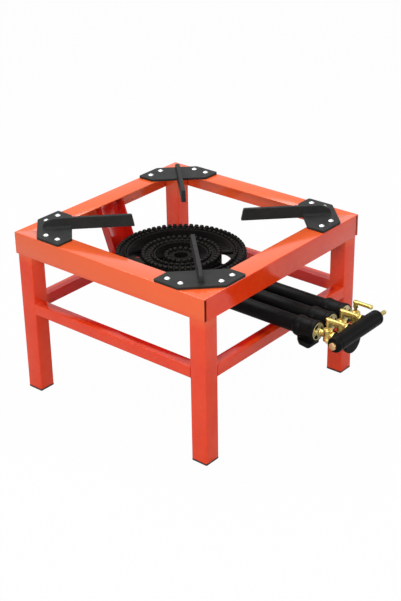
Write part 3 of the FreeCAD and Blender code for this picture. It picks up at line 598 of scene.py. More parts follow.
@dataclass(frozen=True)
class GlossEnamel(Finish):
    """Sprayed gloss paint with a little orange peel, dust nibs and uneven cover.

    The frame's tops and sides are more orange as a painted highlight, the faces inside the stand
    are a deeper red as painted shade, and the corner slits are almost black as a painted shadow.
    """

    full: Colour
    thin: Colour
    # painted highlight: the orange of the frame's lit tops and sides
    lit_faces: Colour
    # painted shade: the deeper red of the faces inside the stand
    shaded_red: Colour
    # painted shadow: the near black in the corner slits
    slit_shadow: Colour
    roughness: float
    peel: float
    nib: Colour = (0.30, 0.02, 0.01)

    @staticmethod
    def zones(sheet: NodeSheet) -> tuple[Value, Value, Value]:
        """Masks of the places where painted highlight and painted shade change the paint's
        colour.

        Args:
            sheet: the material's sheet.

        Returns:
            1 on the frame's tops and sides for a painted highlight, 1 inside the stand for
            painted shade, and 1 in the corner slits for a painted shadow.
        """
        wide, long = (sheet.maths("ABSOLUTE", sheet.along(axis)) for axis in "XY")
        height = sheet.along("Z")
        far, near = sheet.maths("MAXIMUM", wide, long), sheet.maths("MINIMUM", wide, long)
        half, top = FRAME_SIDE / 2.0, FRAME_TOP
        rails = sheet.step(height, top - 54.0, top - 30.0)
        # painted highlight: the lit tops and sides of the top frame, without the front and rear
        # faces
        lit_faces = rails * sheet.step(long, half - 0.3, half - 0.8)
        # painted shade: faces behind the outer faces, between the legs and below the frame's top
        behind_faces = sheet.step(far, half - 8.0, half - 13.0)
        between_legs = sheet.step(near, half - 38.0, half - 50.0)
        inside = behind_faces * between_legs * sheet.step(height, top - 2.0, top - 8.0)
        # painted shadow: the leg's faces inside the open corner slits of the skirts
        at_corner = sheet.step(near, half - 7.5, half - 6.5)
        sunk = sheet.step(far, half - 0.9, half - 1.3)
        skirt = sheet.step(height, top - 39.5, top - 38.0)
        slits = at_corner * sunk * skirt * sheet.step(height, top - 1.0, top - 1.5)
        return lit_faces, inside, slits

    def dress(self, sheet: NodeSheet) -> bpy.types.Material:
        """Builds the material."""
        cloud = sheet.noise(70.0, detail=3.0, rough=0.6)
        patch = sheet.noise(9.0, detail=3.0, rough=0.55)
        nibs = sheet.step(sheet.cells(3.4), 0.055, 0.02)
        cover = sheet.step(cloud * 0.7 + patch * 0.3, 0.32, 0.68)
        lit_faces, inside, slits = self.zones(sheet)
        # painted highlight: the lit tops and sides turn orange
        colour = sheet.mix(lit_faces * 0.8, sheet.mix(cover, self.full, self.thin), self.lit_faces)
        # painted shade inside the stand, then a painted shadow in the corner slits
        colour = sheet.mix(slits, sheet.mix(inside, colour, self.shaded_red), self.slit_shadow)
        dusted = sheet.mix(nibs * 0.08, colour, self.nib)
        rough = cover * 0.06 + patch * 0.05 + nibs * 0.2 + self.roughness
        height = sheet.noise(self.peel, detail=1.0) * 0.8 + nibs * 0.5
        return sheet.surface(Base_Color=dusted, Roughness=rough, Coat_Weight=0.15,
                             Coat_Roughness=0.10, Specular_IOR_Level=0.45,
                             Normal=sheet.bump(height, 0.12, 0.12))


@dataclass(frozen=True)
class CastSurface(Finish):
    """Painted or unpainted sand casting: grain, pits and a cloudy tone."""

    dark: Colour
    light: Colour
    roughness: float
    grain: float
    relief: float
    sheen: float

    def dress(self, sheet: NodeSheet) -> bpy.types.Material:
        """Builds the material."""
        cloud = sheet.noise(26.0, detail=3.0, rough=0.6)
        sand = sheet.noise(self.grain, detail=4.0, rough=0.65)
        pits = sheet.step(sheet.cells(self.grain * 3.0), 0.0, 0.28)
        tone = sheet.step(cloud * 0.45 + sand * 0.55, 0.34, 0.70)
        colour = sheet.mix(tone, self.dark, self.light)
        rough = (sand - 0.5) * 0.22 + (1.0 - pits) * 0.12 + self.roughness
        height = sand * 0.75 + pits * 0.25
        return sheet.surface(Base_Color=colour, Roughness=rough, Specular_IOR_Level=self.sheen,
                             Normal=sheet.bump(height, 0.75, self.relief))


@dataclass(frozen=True)
class Machined(Finish):
    """Turned or drawn metal with fine tool marks and a little tarnish."""

    bright: Colour
    dull: Colour
    roughness: float
    marks: Point3

    def dress(self, sheet: NodeSheet) -> bpy.types.Material:
        """Builds the material."""
        tarnish = sheet.step(sheet.noise(7.0, detail=3.0, rough=0.6), 0.35, 0.75)
        lines = sheet.noise(2.2, stretch=self.marks)
        colour = sheet.mix(tarnish * 0.75 + lines * 0.2, self.bright, self.dull)
        rough = tarnish * 0.14 + lines * 0.12 + self.roughness
        return sheet.surface(Base_Color=colour, Metallic=1.0, Roughness=rough,
                             Normal=sheet.bump(lines, 0.25, 0.05))


@dataclass(frozen=True)
class Passivated(Finish):
    """Zinc plate with the yellow, green and pink clouds of its passivation."""

    gold: Colour
    green: Colour
    rose: Colour
    roughness: float

    def dress(self, sheet: NodeSheet) -> bpy.types.Material:
        """Builds the material."""
        first = sheet.step(sheet.noise(6.0), 0.42, 0.66)
        second = sheet.step(sheet.noise(4.0, stretch=(1.0, 1.4, 0.8)), 0.52, 0.72)
        colour = sheet.mix(second * 0.6, sheet.mix(first, self.gold, self.green), self.rose)
        grain = sheet.noise(0.5)
        return sheet.surface(Base_Color=colour, Metallic=1.0,
                             Roughness=grain * 0.12 + first * 0.08 + self.roughness,
                             Normal=sheet.bump(grain, 0.15, 0.03))


@dataclass(frozen=True)
class MouldedPlastic(Finish):
    """Moulded plastic with a fine spark-eroded grain."""

    colour: Colour
    scuffed: Colour
    roughness: float

    def dress(self, sheet: NodeSheet) -> bpy.types.Material:
        """Builds the material."""
        grain = sheet.noise(0.35)
        scuffs = sheet.step(sheet.noise(5.0, detail=4.0, rough=0.7), 0.5, 0.8)
        return sheet.surface(Base_Color=sheet.mix(scuffs * 0.6, self.colour, self.scuffed),
                             Roughness=grain * 0.15 + scuffs * 0.1 + self.roughness,
                             Normal=sheet.bump(grain, 0.3, 0.05))


# The orange for lit faces is a painted highlight, the deeper red a painted shade inside the
# stand, and the near black a painted shadow in the corner slits.
RED_ENAMEL = GlossEnamel(
    "red_enamel", full=(0.76, 0.036, 0.005), thin=(0.84, 0.058, 0.008),
    lit_faces=(0.88, 0.140, 0.034), shaded_red=(0.60, 0.012, 0.005), slit_shadow=(0.090, 0.002, 0.002),
    roughness=0.09, peel=1.8)
TRIVET_IRON = CastSurface(
    "trivet_black", dark=(0.015, 0.016, 0.015), light=(0.034, 0.036, 0.034),
    roughness=0.44, grain=0.9, relief=0.22, sheen=0.08)
BURNER_IRON = CastSurface(
    "burner_iron", dark=(0.0035, 0.0035, 0.0032), light=(0.012, 0.011, 0.010),
    roughness=0.42, grain=0.8, relief=0.34, sheen=0.08)
PIPE_BLACK = CastSurface(
    "pipe_black", dark=(0.0025, 0.0025, 0.0025), light=(0.007, 0.007, 0.007),
    roughness=0.38, grain=1.1, relief=0.26, sheen=0.06)
TURNED_BRASS = Machined(
    "turned_brass", bright=(0.76, 0.60, 0.20), dull=(0.50, 0.36, 0.09),
    roughness=0.20, marks=(1.0, 1.0, 6.0))
PLUG_BRASS = Machined(
    "plug_brass", bright=(0.84, 0.56, 0.28), dull=(0.62, 0.36, 0.15),
    roughness=0.28, marks=(6.0, 1.0, 1.0))
BRIGHT_RIVET = Machined(
    "bright_rivet", bright=(0.86, 0.87, 0.88), dull=(0.66, 0.67, 0.68),
    roughness=0.26, marks=(1.0, 1.0, 5.0))
ZINC_BOLT = Machined(
    "zinc_bolt", bright=(0.66, 0.67, 0.68), dull=(0.42, 0.43, 0.44),
    roughness=0.32, marks=(1.0, 1.0, 4.0))
YELLOW_ZINC = Passivated(
    "yellow_zinc", gold=(0.62, 0.54, 0.08), green=(0.50, 0.52, 0.13), rose=(0.70, 0.46, 0.17),
    roughness=0.24)
FOOT_BLACK = MouldedPlastic(
    "foot_black", colour=(0.012, 0.012, 0.013), scuffed=(0.035, 0.035, 0.035), roughness=0.48)


# ---- the stand ------------------------------------------------------------------------------
@dataclass
class TopFrame:
    """Square top frame of four folded rails, mitred at the corners."""

    side: float = FRAME_SIDE
    top: float = FRAME_TOP
    sheet: float = 2.0
    flange: float = 37.0
    skirt: float = 38.0
    slit: float = 3.6       # the open corner of a front or rear skirt
    fold: float = 1.2       # outer radius of the fold
    crease: float = 0.7     # its inner radius
    edge: float = 0.3

    def rail(self, name: str, open_corner: bool) -> Workpiece:
        """The front rail.

        Args:
            name: the piece's name.
            open_corner: whether its skirt stops short of the corners.

        Returns:
            The rail, ready to be turned into place.
        """
        half, under = self.side / 2.0, self.top - self.sheet
        low = self.top - self.skirt
        edge = self.edge
        section = rounded([(-half, low), (-half + self.sheet, low), (-half + self.sheet, under),
                           (-half + self.flange, under), (-half + self.flange, self.top),
                           (-half, self.top)], (edge, edge, self.crease, edge, edge, self.fold))
        blank = Workpiece.plate(name, section, Plane.SIDE, -half, self.side)
        blank.bisect((-half, -half, 0.0), (-1.0, 1.0, 0.0))
        blank.bisect((half, -half, 0.0), (1.0, 1.0, 0.0))
        if open_corner:
            for s in (-1.0, 1.0):
                inner, outer = s * (half - self.sheet - self.slit), s * (half + 1.0)
                tool = Workpiece.block("slit_tool", (min(inner, outer), -half - 1.0, low - 1.0),
                                       (max(inner, outer), -half + self.sheet, under))
                blank.cut(tool)
        blank.face_out()
        blank.bevel(0.25, 2, 50.0)
        blank.smooth(35.0)
        return blank

    def build(self) -> None:
        """Makes and fits the four rails."""
        crossing = self.rail("rail_front_sheet", True)
        running = self.rail("rail_left_blank", False)
        crossing.twin("rail_rear_sheet", 180.0).fit(STAND, Slot.RED, RED_ENAMEL, "rail_rear")
        running.twin("rail_right_sheet", 90.0).fit(STAND, Slot.RED, RED_ENAMEL, "rail_right")
        running.twin("rail_left_sheet", 270.0).fit(STAND, Slot.RED, RED_ENAMEL, "rail_left")
        crossing.fit(STAND, Slot.RED, RED_ENAMEL, "rail_front")
        bpy.data.objects.remove(running.obj, do_unlink=True)


CORNERS: tuple[tuple[str, float, float], ...] = (
    ("fl", -1.0, -1.0), ("fr", 1.0, -1.0), ("rl", -1.0, 1.0), ("rr", 1.0, 1.0))


@dataclass
class LegSet:
    """Four square tube legs on plastic foot caps, and the stretchers between them."""

    face: float = LEG_FACE
    leg: float = 30.0
    wall: float = 1.5
    corner: float = 2.2         # outer radius of the leg tube
    bar_corner: float = 1.8     # the same of a stretcher and of a foot cap
    top: float = FRAME_TOP - 2.0
    cap: float = 3.5
    plug: float = 14.0
    bar: float = BAR
    bar_top: float = BAR_TOP
    open_end: float = 22.0      # how far a leg's ends are hollow
    open_bar: float = 12.0      # the same of a stretcher

    def tube(self, name: str, x: float, y: float) -> Workpiece:
        """One leg: rounded outline drawn up, with an open hollow at each end."""
        h = self.leg / 2.0
        shape = rounded(rectangle(x - h, x + h, y - h, y + h), self.corner, 5)
        piece = Workpiece.plate(name, shape, Plane.PLAN, self.cap, self.top - self.cap)
        for way, level in ((1.0, self.top), (-1.0, self.cap)):
            def at_end(centre: Vector, normal: Vector, z: float = level) -> bool:
                """Whether a face closes this end of the tube."""
                return (abs(centre.z - z) < 0.01 and abs(normal.z) > 0.9
                        and abs(centre.x - x) < 2.0 and abs(centre.y - y) < 2.0)
            piece.inset(self.wall, at_end)
            piece.extrude(Vector((0.0, 0.0, -way * self.open_end)), at_end)
        piece.smooth(35.0)
        return piece

    def foot(self, name: str, x: float, y: float) -> Workpiece:
        """One foot cap: a pad with a soft lower edge and a plug inside the leg."""
        h = self.leg / 2.0
        shape = rounded(rectangle(x - h, x + h, y - h, y + h), self.bar_corner)
        pad = Workpiece.plate(name, shape, Plane.PLAN, 0.0, self.cap)
        pad.bevel(0.6, 3, 50.0)
        p = h - self.wall - 0.15
        plug = Workpiece.block("foot_plug", (x - p, y - p, self.cap - 0.5),
                               (x + p, y + p, self.cap + self.plug))
        plug.inset(2.0, lambda centre, normal: normal.z > 0.9)
        plug.extrude(Vector((0.0, 0.0, -self.plug)), lambda centre, normal: (
            normal.z > 0.9 and abs(centre.x - x) < 1.0 and abs(centre.y - y) < 1.0))
        pad.take(plug)
        pad.smooth(40.0)
        return pad

    def stretcher(self, name: str) -> Workpiece:
        """The front stretcher, a small square tube between two legs."""
        h = self.bar / 2.0
        reach = self.face - self.leg
        shape = rounded(rectangle(-self.face, -self.face + self.bar, self.bar_top - self.bar,
                                  self.bar_top), self.bar_corner, 5)
        piece = Workpiece.plate(name, shape, Plane.SIDE, -reach, 2.0 * reach)
        middle = (-self.face + h, self.bar_top - h)

        def at_end(centre: Vector, normal: Vector) -> bool:
            """Whether a face closes an end of the tube."""
            return (abs(normal.x) > 0.9 and abs(centre.y - middle[0]) < 2.0
                    and abs(centre.z - middle[1]) < 2.0)
        piece.inset(self.wall, at_end)
        for way in (-1.0, 1.0):
            piece.extrude(Vector((-way * self.open_bar, 0.0, 0.0)),
                          lambda c, n, w=way: at_end(c, n) and n.x * w > 0.9)
        piece.smooth(35.0)
        return piece

    def build(self) -> None:
        """Makes and fits legs, foot caps and stretchers."""
        inset = self.face - self.leg / 2.0
        for tag, sx, sy in CORNERS:
            self.tube(f"leg_{tag}_tube", sx * inset, sy * inset).fit(
                STAND, Slot.RED, RED_ENAMEL, f"leg_{tag}")
            self.foot(f"foot_{tag}_cap", sx * inset, sy * inset).fit(
                STAND, Slot.FOOT, FOOT_BLACK, f"foot_cap_{tag}")
        front = self.stretcher("stretcher_front_tube")
        for where, turn in (("right", 90.0), ("rear", 180.0), ("left", 270.0)):
            front.twin(f"stretcher_{where}_tube", turn).fit(
                STAND, Slot.RED, RED_ENAMEL, f"stretcher_{where}")
        front.fit(STAND, Slot.RED, RED_ENAMEL, "stretcher_front")


@dataclass
class TrivetSet:
    """Four corner castings, each a riveted plate with an upright bar on the diagonal."""

    half: float = FRAME_SIDE / 2.0
    level: float = FRAME_TOP
    plate: float = 4.0
    near: float = 52.0      # where the plate starts along a rail, from the frame's corner
    far: float = 100.0      # where it ends
    reach: float = 32.0     # its width across the rail
    corner: float = 4.0
    bar: float = 8.0        # thickness of the bar at its foot
    bar_top: float = 6.4    # and at its top
    height: float = 20.5
    out: float = 46.0       # outer end of the bar, from the frame's corner
    inner: float = 195.5    # its inner end
    nose: float = 4.0       # how far that end leans back
    shoulder: float = 17.0  # from the outer end to the full height
    root: float = 3.0
    along: tuple[float, float] = (58.0, 84.0)
    rivet_row: float = 15.0

    def casting(self) -> Workpiece:
        """The front-left casting."""
        plan = [(self.near, 0.0), (self.far, 0.0), (self.far, self.reach),
                (self.reach, self.far), (0.0, self.far), (0.0, self.near)]
        plan = rounded(plan, self.corner, 5)
        body = Workpiece.plate("trivet_fl_casting",
                               [(a - self.half, b - self.half) for a, b in plan],
                               Plane.PLAN, self.level, self.plate)
        top = self.level + self.height
        foot = self.level + self.plate
        side = rounded([(self.out, self.level + 0.3), (self.inner, self.level + 0.3),
                        (self.inner - self.nose, top), (self.out + self.shoulder, top),
                        (self.out + 2.0, top - 6.5), (self.out, foot + 3.0)],
                       (0.0, 0.5, 1.6, 22.0, 6.0, 3.0), 6)
        bar = Workpiece.plate("bar", side, Plane.FRONT, -self.bar / 2.0, self.bar)
        slope = (self.bar_top / self.bar - 1.0) / (self.height - self.plate)
        bar.move_points(lambda p: Vector((
            p.x, p.y * (1.0 + slope * max(0.0, p.z - foot)), p.z)))
        h = self.bar / 2.0
        edge = (self.far + self.reach) / math.sqrt(2.0)
        root = Workpiece.plate("root", [(-h - self.root, foot - 1.0), (h + self.root, foot - 1.0),
                                        (h + self.root, foot), (h - 0.4, foot + self.root),
                                        (0.4 - h, foot + self.root), (-h - self.root, foot)],
                               Plane.SIDE, self.out + 0.5, edge - self.out - 1.5)
        bar.take(root)
        body.take(bar.twin("bar_turned", 45.0, (-self.half, -self.half, 0.0)))
        bpy.data.objects.remove(bar.obj, do_unlink=True)
        body.cast(0.75, 2, 0.45)
        body.smooth(50.0)
        return body

    def rivet(self, x: float, y: float) -> Workpiece:
        """One blind rivet: flat dome with the stub of its mandrel, and the tail below."""
        t = self.plate
        profile = [(0.0, t + 1.55), (0.75, t + 1.5), (1.0, t + 1.85), (1.5, t + 1.95),
                   (2.6, t + 1.72), (3.6, t + 1.25), (4.35, t + 0.7), (4.75, t + 0.25),
                   (4.65, t), (2.4, t), (2.4, -2.0), (3.8, -2.2), (3.7, -3.1),
                   (3.0, -3.6), (0.0, -3.6)]
        return Workpiece.turned("rivet", profile, (x, y, self.level), Direction.Z, 28)

    def build(self) -> None:
        """Makes and fits the castings and the rivets."""
        first = self.casting()
        for tag, turn in (("fr", 90.0), ("rr", 180.0), ("rl", 270.0)):
            first.twin(f"trivet_{tag}_casting", turn).fit(
                STAND, Slot.BLACK, TRIVET_IRON, f"trivet_{tag}")
        first.fit(STAND, Slot.BLACK, TRIVET_IRON, "trivet_fl")
        spots = [(a, self.rivet_row) for a in self.along] + [(self.rivet_row, a)
                                                             for a in self.along]
        made = [self.rivet(a - self.half, b - self.half) for a, b in spots]
        group = made[0].take(*made[1:])
        group.take(*[group.twin("rivets", turn) for turn in (90.0, 180.0, 270.0)])
        group.obj.name = "rivet_heads"
        group.smooth(50.0)
        group.fit(STAND, Slot.RIVET, BRIGHT_RIVET, "trivet_rivets")


# ---- the burner -----------------------------------------------------------------------------
@dataclass(frozen=True)
class NubRow:
    """A row of nubs: radius, their length across the ring at foot and tip, number and start."""

    radius: float
    foot: float
    tip: float
    count: int
    start: float = 0.0


@dataclass(frozen=True)
class Ring:
    """One ring of the burner: radii, the height of its rim, and its second row of nubs."""

    tag: str
    outer: float
    inner: float
    rim: float
    second_row: Optional[NubRow] = None

    @property
    def first_row(self) -> NubRow:
        """The outer row of nubs."""
        radius = self.outer - 4.8
        return NubRow(radius, 8.4, 6.2, round(math.tau * radius / NUB_PITCH))

    @property
    def ports(self) -> float:
        """Radius of the row of flame ports."""
        return self.outer - 12.2

    @property
    def middle(self) -> float:
        """Radius of the middle of the trough."""
        return (self.outer + self.inner) / 2.0


OUTER_RING = Ring("outer", 110.0, 88.0, BASE + 22.0,
                  NubRow(radius=93.2, foot=4.8, tip=4.2, count=62, start=2.9))
MIDDLE_RING = Ring("middle", 68.0, 43.0, BASE + 19.0,
                   NubRow(radius=48.9, foot=5.4, tip=4.2, count=33, start=180.0 / 33.0))
INNER_RING = Ring("inner", 30.0, 12.0, BASE + 15.0)


@dataclass
class RingHeads:
    """Toothed ring heads: nubs, slots down the outer wall, ports and a low inner rim."""

    head: float = 8.0
    nub: float = 5.0            # a nub's height over the head
    nub_foot: float = 8.2       # its width along the row at the foot
    nub_tip: float = 6.2        # and at the tip
    nub_edge: float = 1.9       # rounding of its edges
    uneven: float = 0.10        # largest share by which a nub falls short
    rim_wall: float = 2.6       # the low inner rim's thickness
    rim_rise: float = 1.5       # and its height over the head
    slot_in: float = 1.8        # how far a slot goes into the outer wall
    slot_deep: float = 4.5      # and down it
    lip: float = 3.0            # how far the locating lip drops into the trough
    port_deep: float = 3.6
    bridge_thick: float = 6.0
    seed: int = 7
    # The middle of each flash bridge and how much of the gap it covers, in degrees.
    bridges: tuple[Point2, ...] = ((152.5, 21.0), (315.0, 6.0))

    def shell(self, ring: Ring) -> Workpiece:
        """The turned body of a head, with its slots and ports."""
        top = ring.rim + self.head
        count = ring.first_row.count
        pitch = 360.0 / count
        lip_out, lip_in = ring.outer - 3.8, ring.inner + 3.8
        port = (ring.ports - 2.0, ring.ports + 2.0)
        profile = [(ring.inner, ring.rim), (lip_in, ring.rim), (lip_in, ring.rim - self.lip),
                   (lip_in + 2.4, ring.rim - self.lip), (lip_in + 2.4, ring.rim + 4.0),
                   (lip_out - 2.4, ring.rim + 4.0), (lip_out - 2.4, ring.rim - self.lip),
                   (lip_out, ring.rim - self.lip), (lip_out, ring.rim),
                   (ring.outer - 0.3, ring.rim), (ring.outer, ring.rim + 0.4),
                   (ring.outer, top - self.slot_deep), (ring.outer, top - self.slot_deep + 0.8),
                   (ring.outer, top - 0.8), (ring.outer - 0.6, top - 0.1),
                   (ring.outer - self.slot_in, top), (port[1], top), (port[0], top),
                   (ring.inner + self.rim_wall + 0.5, top),
                   (ring.inner + self.rim_wall, top + self.rim_rise - 0.5),
                   (ring.inner + self.rim_wall - 0.6, top + self.rim_rise),
                   (ring.inner + 0.5, top + self.rim_rise),
                   (ring.inner, top + self.rim_rise - 0.5)]
        body = Workpiece.turned(f"head_{ring.tag}", profile, (0.0, BURNER_Y, 0.0), Direction.Z,
                                count * 6, closed=True)

        def off_gap(point: Vector) -> float:
            """Angle to the nearest gap between two nubs, as a share of the pitch."""
            turn = math.degrees(math.atan2(point.y - BURNER_Y, point.x))
            return abs((turn / pitch) % 1.0 - 0.5)

        def slots(point: Vector) -> Vector:
            """Pulls the wall in between two nubs."""
            flat = Vector((point.x, point.y - BURNER_Y))
            if (flat.length < ring.outer - 1.0 or point.z < top - self.slot_deep + 0.4
                    or off_gap(point) > 0.2):
                return point
            flat *= (ring.outer - self.slot_in) / flat.length
            return Vector((flat.x, flat.y + BURNER_Y, point.z))
        body.move_points(slots)
        body.extrude(Vector((0.0, 0.0, -self.port_deep)), lambda centre, normal: (
            abs(centre.z - top) < 0.05 and off_gap(centre) < 0.17
            and abs(Vector((centre.x, centre.y - BURNER_Y)).length - ring.ports) < 1.0))
        return body

    def nubs(self, ring: Ring, row: NubRow) -> Workpiece:
        """A row of tapered nubs with soft edges, each a little different."""
        top = ring.rim + self.head
        wide, long = self.nub_foot / 2.0, row.foot / 2.0
        one = Workpiece.block("nub_row", (row.radius - long, BURNER_Y - wide, top - 0.5),
                              (row.radius + long, BURNER_Y + wide, top + self.nub))
        one.move_points(lambda p: p if p.z < top + 1.0 else Vector((
            row.radius + (p.x - row.radius) * row.tip / row.foot,
            BURNER_Y + (p.y - BURNER_Y) * self.nub_tip / self.nub_foot, p.z)))
        one.bevel(self.nub_edge, 3)
        per = len(one.obj.data.vertices)
        middle = Vector((0.0, BURNER_Y, 0.0))
        one.ring_of(row.count, tuple(middle))
        turn = Matrix.Rotation(math.radians(row.start), 3, "Z")
        one.move_points(lambda p: middle + turn @ (p - middle))
        dice = random.Random(self.seed + row.count)
        grow = [1.0 - self.uneven * dice.random() for _ in range(row.count)]
        for k, vertex in enumerate(one.obj.data.vertices):
            rise = vertex.co.z / MM - top
            if rise > 0.0:
                vertex.co.z = (top + rise * grow[min(k // per, row.count - 1)]) * MM
        return one

    def bridge(self, turn: float, spread: float) -> Workpiece:
        """A flash bridge from the outer head towards the middle head.

        Args:
            turn: angle of its middle in degrees.
            spread: how many degrees of the gap it covers.

        Returns:
            The bridge.
        """
        shape = sector(MIDDLE_RING.outer + 0.4, OUTER_RING.inner + 1.0, turn, spread,
                       (0.0, BURNER_Y))
        bar = Workpiece.plate("bridge", shape, Plane.PLAN, OUTER_RING.rim, self.bridge_thick)
        bar.bevel(1.2, 2, 40.0)
        return bar

    def build(self) -> None:
        """Makes and fits the three heads."""
        for ring in (OUTER_RING, MIDDLE_RING, INNER_RING):
            body = self.shell(ring)
            body.take(self.nubs(ring, ring.first_row))
            if ring.second_row is not None:
                body.take(self.nubs(ring, ring.second_row))
            if ring is OUTER_RING:
                body.take(*[self.bridge(turn, spread) for turn, spread in self.bridges])
            body.smooth(38.0)
            body.fit(STAND, Slot.IRON, BURNER_IRON, f"ring_{ring.tag}")


def cut_windows(plate: Workpiece, x: float, start: float) -> None:
    """Cuts the three air windows of a bell or shutter out of a plate that faces forward."""
    for k in range(3):
        shape = sector(*WINDOW, 120.0 * k, WINDOW_SPREAD, (x, TUBE_AXIS))
        plate.cut(Workpiece.plate("window", shape, Plane.FRONT, start, 4.0))


@dataclass
class BurnerCasting:
    """The base casting: troughs, mixing tubes, bells, webs, lugs, ear, foot and arm."""

    axis: float = TUBE_AXIS
    under: float = BASE
    wall: float = 3.5
    draft: float = 4.0          # how far the troughs' walls lean in at the floor
    pitch: float = TUBE_PITCH
    tube: float = 13.3          # outer radius of a mixing tube
    bore: float = 10.3
    mouth: float = MOUTH
    bell: float = 16.7          # outer radius of a bell
    bell_long: float = 36.0
    bell_bore: float = 14.4
    floor: float = 4.0          # thickness of the troughs' floor
    lug_thick: float = 6.5
    lug_bolt: Point2 = (49.0, 8.0)      # its hole, from the middle and from the bells' faces
    arm: float = 6.0            # half width of the front and rear arms
    arm_drop: float = 24.0      # from the tubes' axis to the front arm's underside
    arm_reach: float = 26.0     # how far that arm runs back from the bells' faces
    foot: float = 11.0          # half width of the foot on the front stretcher
    pad: float = 8.5            # radius of the pad that the gas pipe is bolted to

    def trough(self, ring: Ring) -> Workpiece:
        """One ring's trough, open at the top."""
        floor = self.under + self.floor
        profile = [(ring.inner, ring.rim), (ring.inner + self.draft / 2.0, self.under),
                   (ring.outer - self.draft, self.under),
                   (ring.outer, self.under + self.draft * 2.0), (ring.outer, ring.rim),
                   (ring.outer - self.wall, ring.rim), (ring.outer - self.wall, floor),
                   (ring.inner + self.wall, floor), (ring.inner + self.wall, ring.rim)]
        piece = Workpiece.turned(f"trough_{ring.tag}", profile, (0.0, BURNER_Y, 0.0),
                                 Direction.Z, 144, closed=True)
        piece.bevel(0.9, 2, 18.0)
        return piece

    def pipe(self, ring: Ring, x: float) -> Workpiece:
        """One mixing tube with its bell, as a solid."""
        end = BURNER_Y - math.sqrt(ring.middle ** 2 - x ** 2) + 7.5
        back = self.mouth + self.bell_long
        profile = [(0.0, end), (self.tube - 2.0, end), (self.tube, end - 2.0),
                   (self.tube, back + 4.6), (self.bell - 1.2, back + 2.6),
                   (self.bell - 0.1, back + 0.6), (self.bell + 0.1, back - 2.5),
                   (self.bell - 0.2, back - 6.5), (self.bell - 1.1, back - 9.0),
                   (self.bell - 1.1, self.mouth + 11.0), (self.bell - 0.2, self.mouth + 7.5),
                   (self.bell, self.mouth + 5.0), (self.bell, self.mouth + 1.2),
                   (self.bell - 0.7, self.mouth), (0.0, self.mouth)]
        return Workpiece.turned("pipe", profile, (x, 0.0, self.axis), Direction.Y, 56)

    def bore_tool(self, ring: Ring, x: float) -> Workpiece:
        """The hollow of one mixing tube, to be cut out."""
        end = BURNER_Y - math.sqrt(ring.middle ** 2 - x ** 2) + 4.5
        profile = [(0.0, end), (self.bore, end), (self.bore, self.mouth + 32.0),
                   (self.bell_bore, self.mouth + 20.0), (self.bell_bore, self.mouth + 0.6),
                   (self.bell_bore + 0.8, self.mouth - 1.0), (0.0, self.mouth - 1.0)]
        return Workpiece.turned("bore_tool", profile, (x, 0.0, self.axis), Direction.Y, 56)

    def lug(self, side: float) -> Workpiece:
        """The ear under an outer bell, with its bolt hole."""
        plan = [(-6.0, 2.0), (23.0, 2.0), (19.0, 22.0), (8.0, 34.0), (-6.0, 34.0)]
        shape = rounded([(side * (self.pitch + a), self.mouth + b) for a, b in plan],
                        (0.0, 4.0, 6.0, 6.0, 0.0), 5)
        return Workpiece.plate("lug", shape, Plane.PLAN, self.axis - self.bell - 5.0,
                               self.lug_thick)

    def spider(self, x: float) -> Workpiece:
        """The windowed plate inside a bell's mouth."""
        y = self.mouth + 1.7
        plate = Workpiece.plate("spider", circle(self.bell_bore + 0.4, (x, self.axis), 64),
                                Plane.FRONT, y, 2.0)
        cut_windows(plate, x, y - 1.0)
        plate.cut(Workpiece.plate("eye", circle(3.7, (x, self.axis), 32), Plane.FRONT,
                                  y - 1.0, 4.0))
        return plate

    def tubes(self) -> None:
        """Makes and fits the mixing tubes with the lugs, the foot and the front arm."""
        fed = ((-self.pitch, OUTER_RING), (0.0, INNER_RING), (self.pitch, MIDDLE_RING))
        pipes = [self.pipe(ring, x) for x, ring in fed]
        body = pipes[0].take(*pipes[1:])
        web, low = self.mouth + 9.0, self.axis - self.arm_drop
        back = self.mouth + self.arm_reach
        body.take(
            Workpiece.block("web", (-self.pitch, web, self.axis - 3.0),
                            (self.pitch, web + 23.0, self.axis + 3.0)),
            self.lug(-1.0), self.lug(1.0),
            Workpiece.block("foot", (-self.foot, -LEG_FACE, BAR_TOP),
                            (self.foot, BAR - LEG_FACE, self.axis - 6.0)),
            Workpiece.block("arm", (-self.arm, INLET - 4.0, low), (self.arm, back, low + 8.0)),
            Workpiece.block("arm_root", (-self.arm, self.mouth, low),
                            (self.arm, back, self.axis - self.bell_bore - 0.5)),
            Workpiece.plate("pad", circle(self.pad, (0.0, CARRIER_LEVEL), 40), Plane.FRONT,
                            INLET - 4.0, 6.0))
        body.cast(0.95, 3, 0.5)
        bores = [self.bore_tool(ring, x) for x, ring in fed]
        body.cut(bores[0].take(*bores[1:]))
        for side in (-1.0, 1.0):
            spot = (side * self.lug_bolt[0], self.mouth + self.lug_bolt[1])
            body.cut(Workpiece.plate("drill", circle(3.2, spot, 28), Plane.PLAN,
                                     self.axis - self.bell - 6.0, self.lug_thick + 2.0))
        body.take(*[self.spider(x) for x, _ in fed])
        body.obj.name = "mixing_tubes"
        body.smooth(45.0)
        body.fit(STAND, Slot.IRON, PIPE_BLACK)

    def troughs(self) -> None:
        """Makes and fits the three troughs with the rear arm and its ear."""
        base = self.trough(OUTER_RING)
        arm = Workpiece.block("rear_arm", (-self.arm, BURNER_Y + INNER_RING.middle, self.axis),
                              (self.arm, BURNER_Y + OUTER_RING.middle, self.axis + 7.0))
        arm.bevel(1.2, 2, 40.0)
        ear = Workpiece.plate("ear", rounded(rectangle(-14.0, 14.0, 114.0, EAR_END),
                                             (0.0, 0.0, 7.0, 7.0), 6), Plane.PLAN, self.axis, 8.0)
        ear.bevel(1.0, 2, 40.0)
        base.take(self.trough(MIDDLE_RING), self.trough(INNER_RING), arm, ear)
        base.obj.name = "burner_troughs"
        base.smooth(40.0)
        base.fit(STAND, Slot.IRON, BURNER_IRON, "burner_base")

    def build(self) -> None:
        """Makes and fits the casting's two pieces."""
        self.tubes()
        self.troughs()


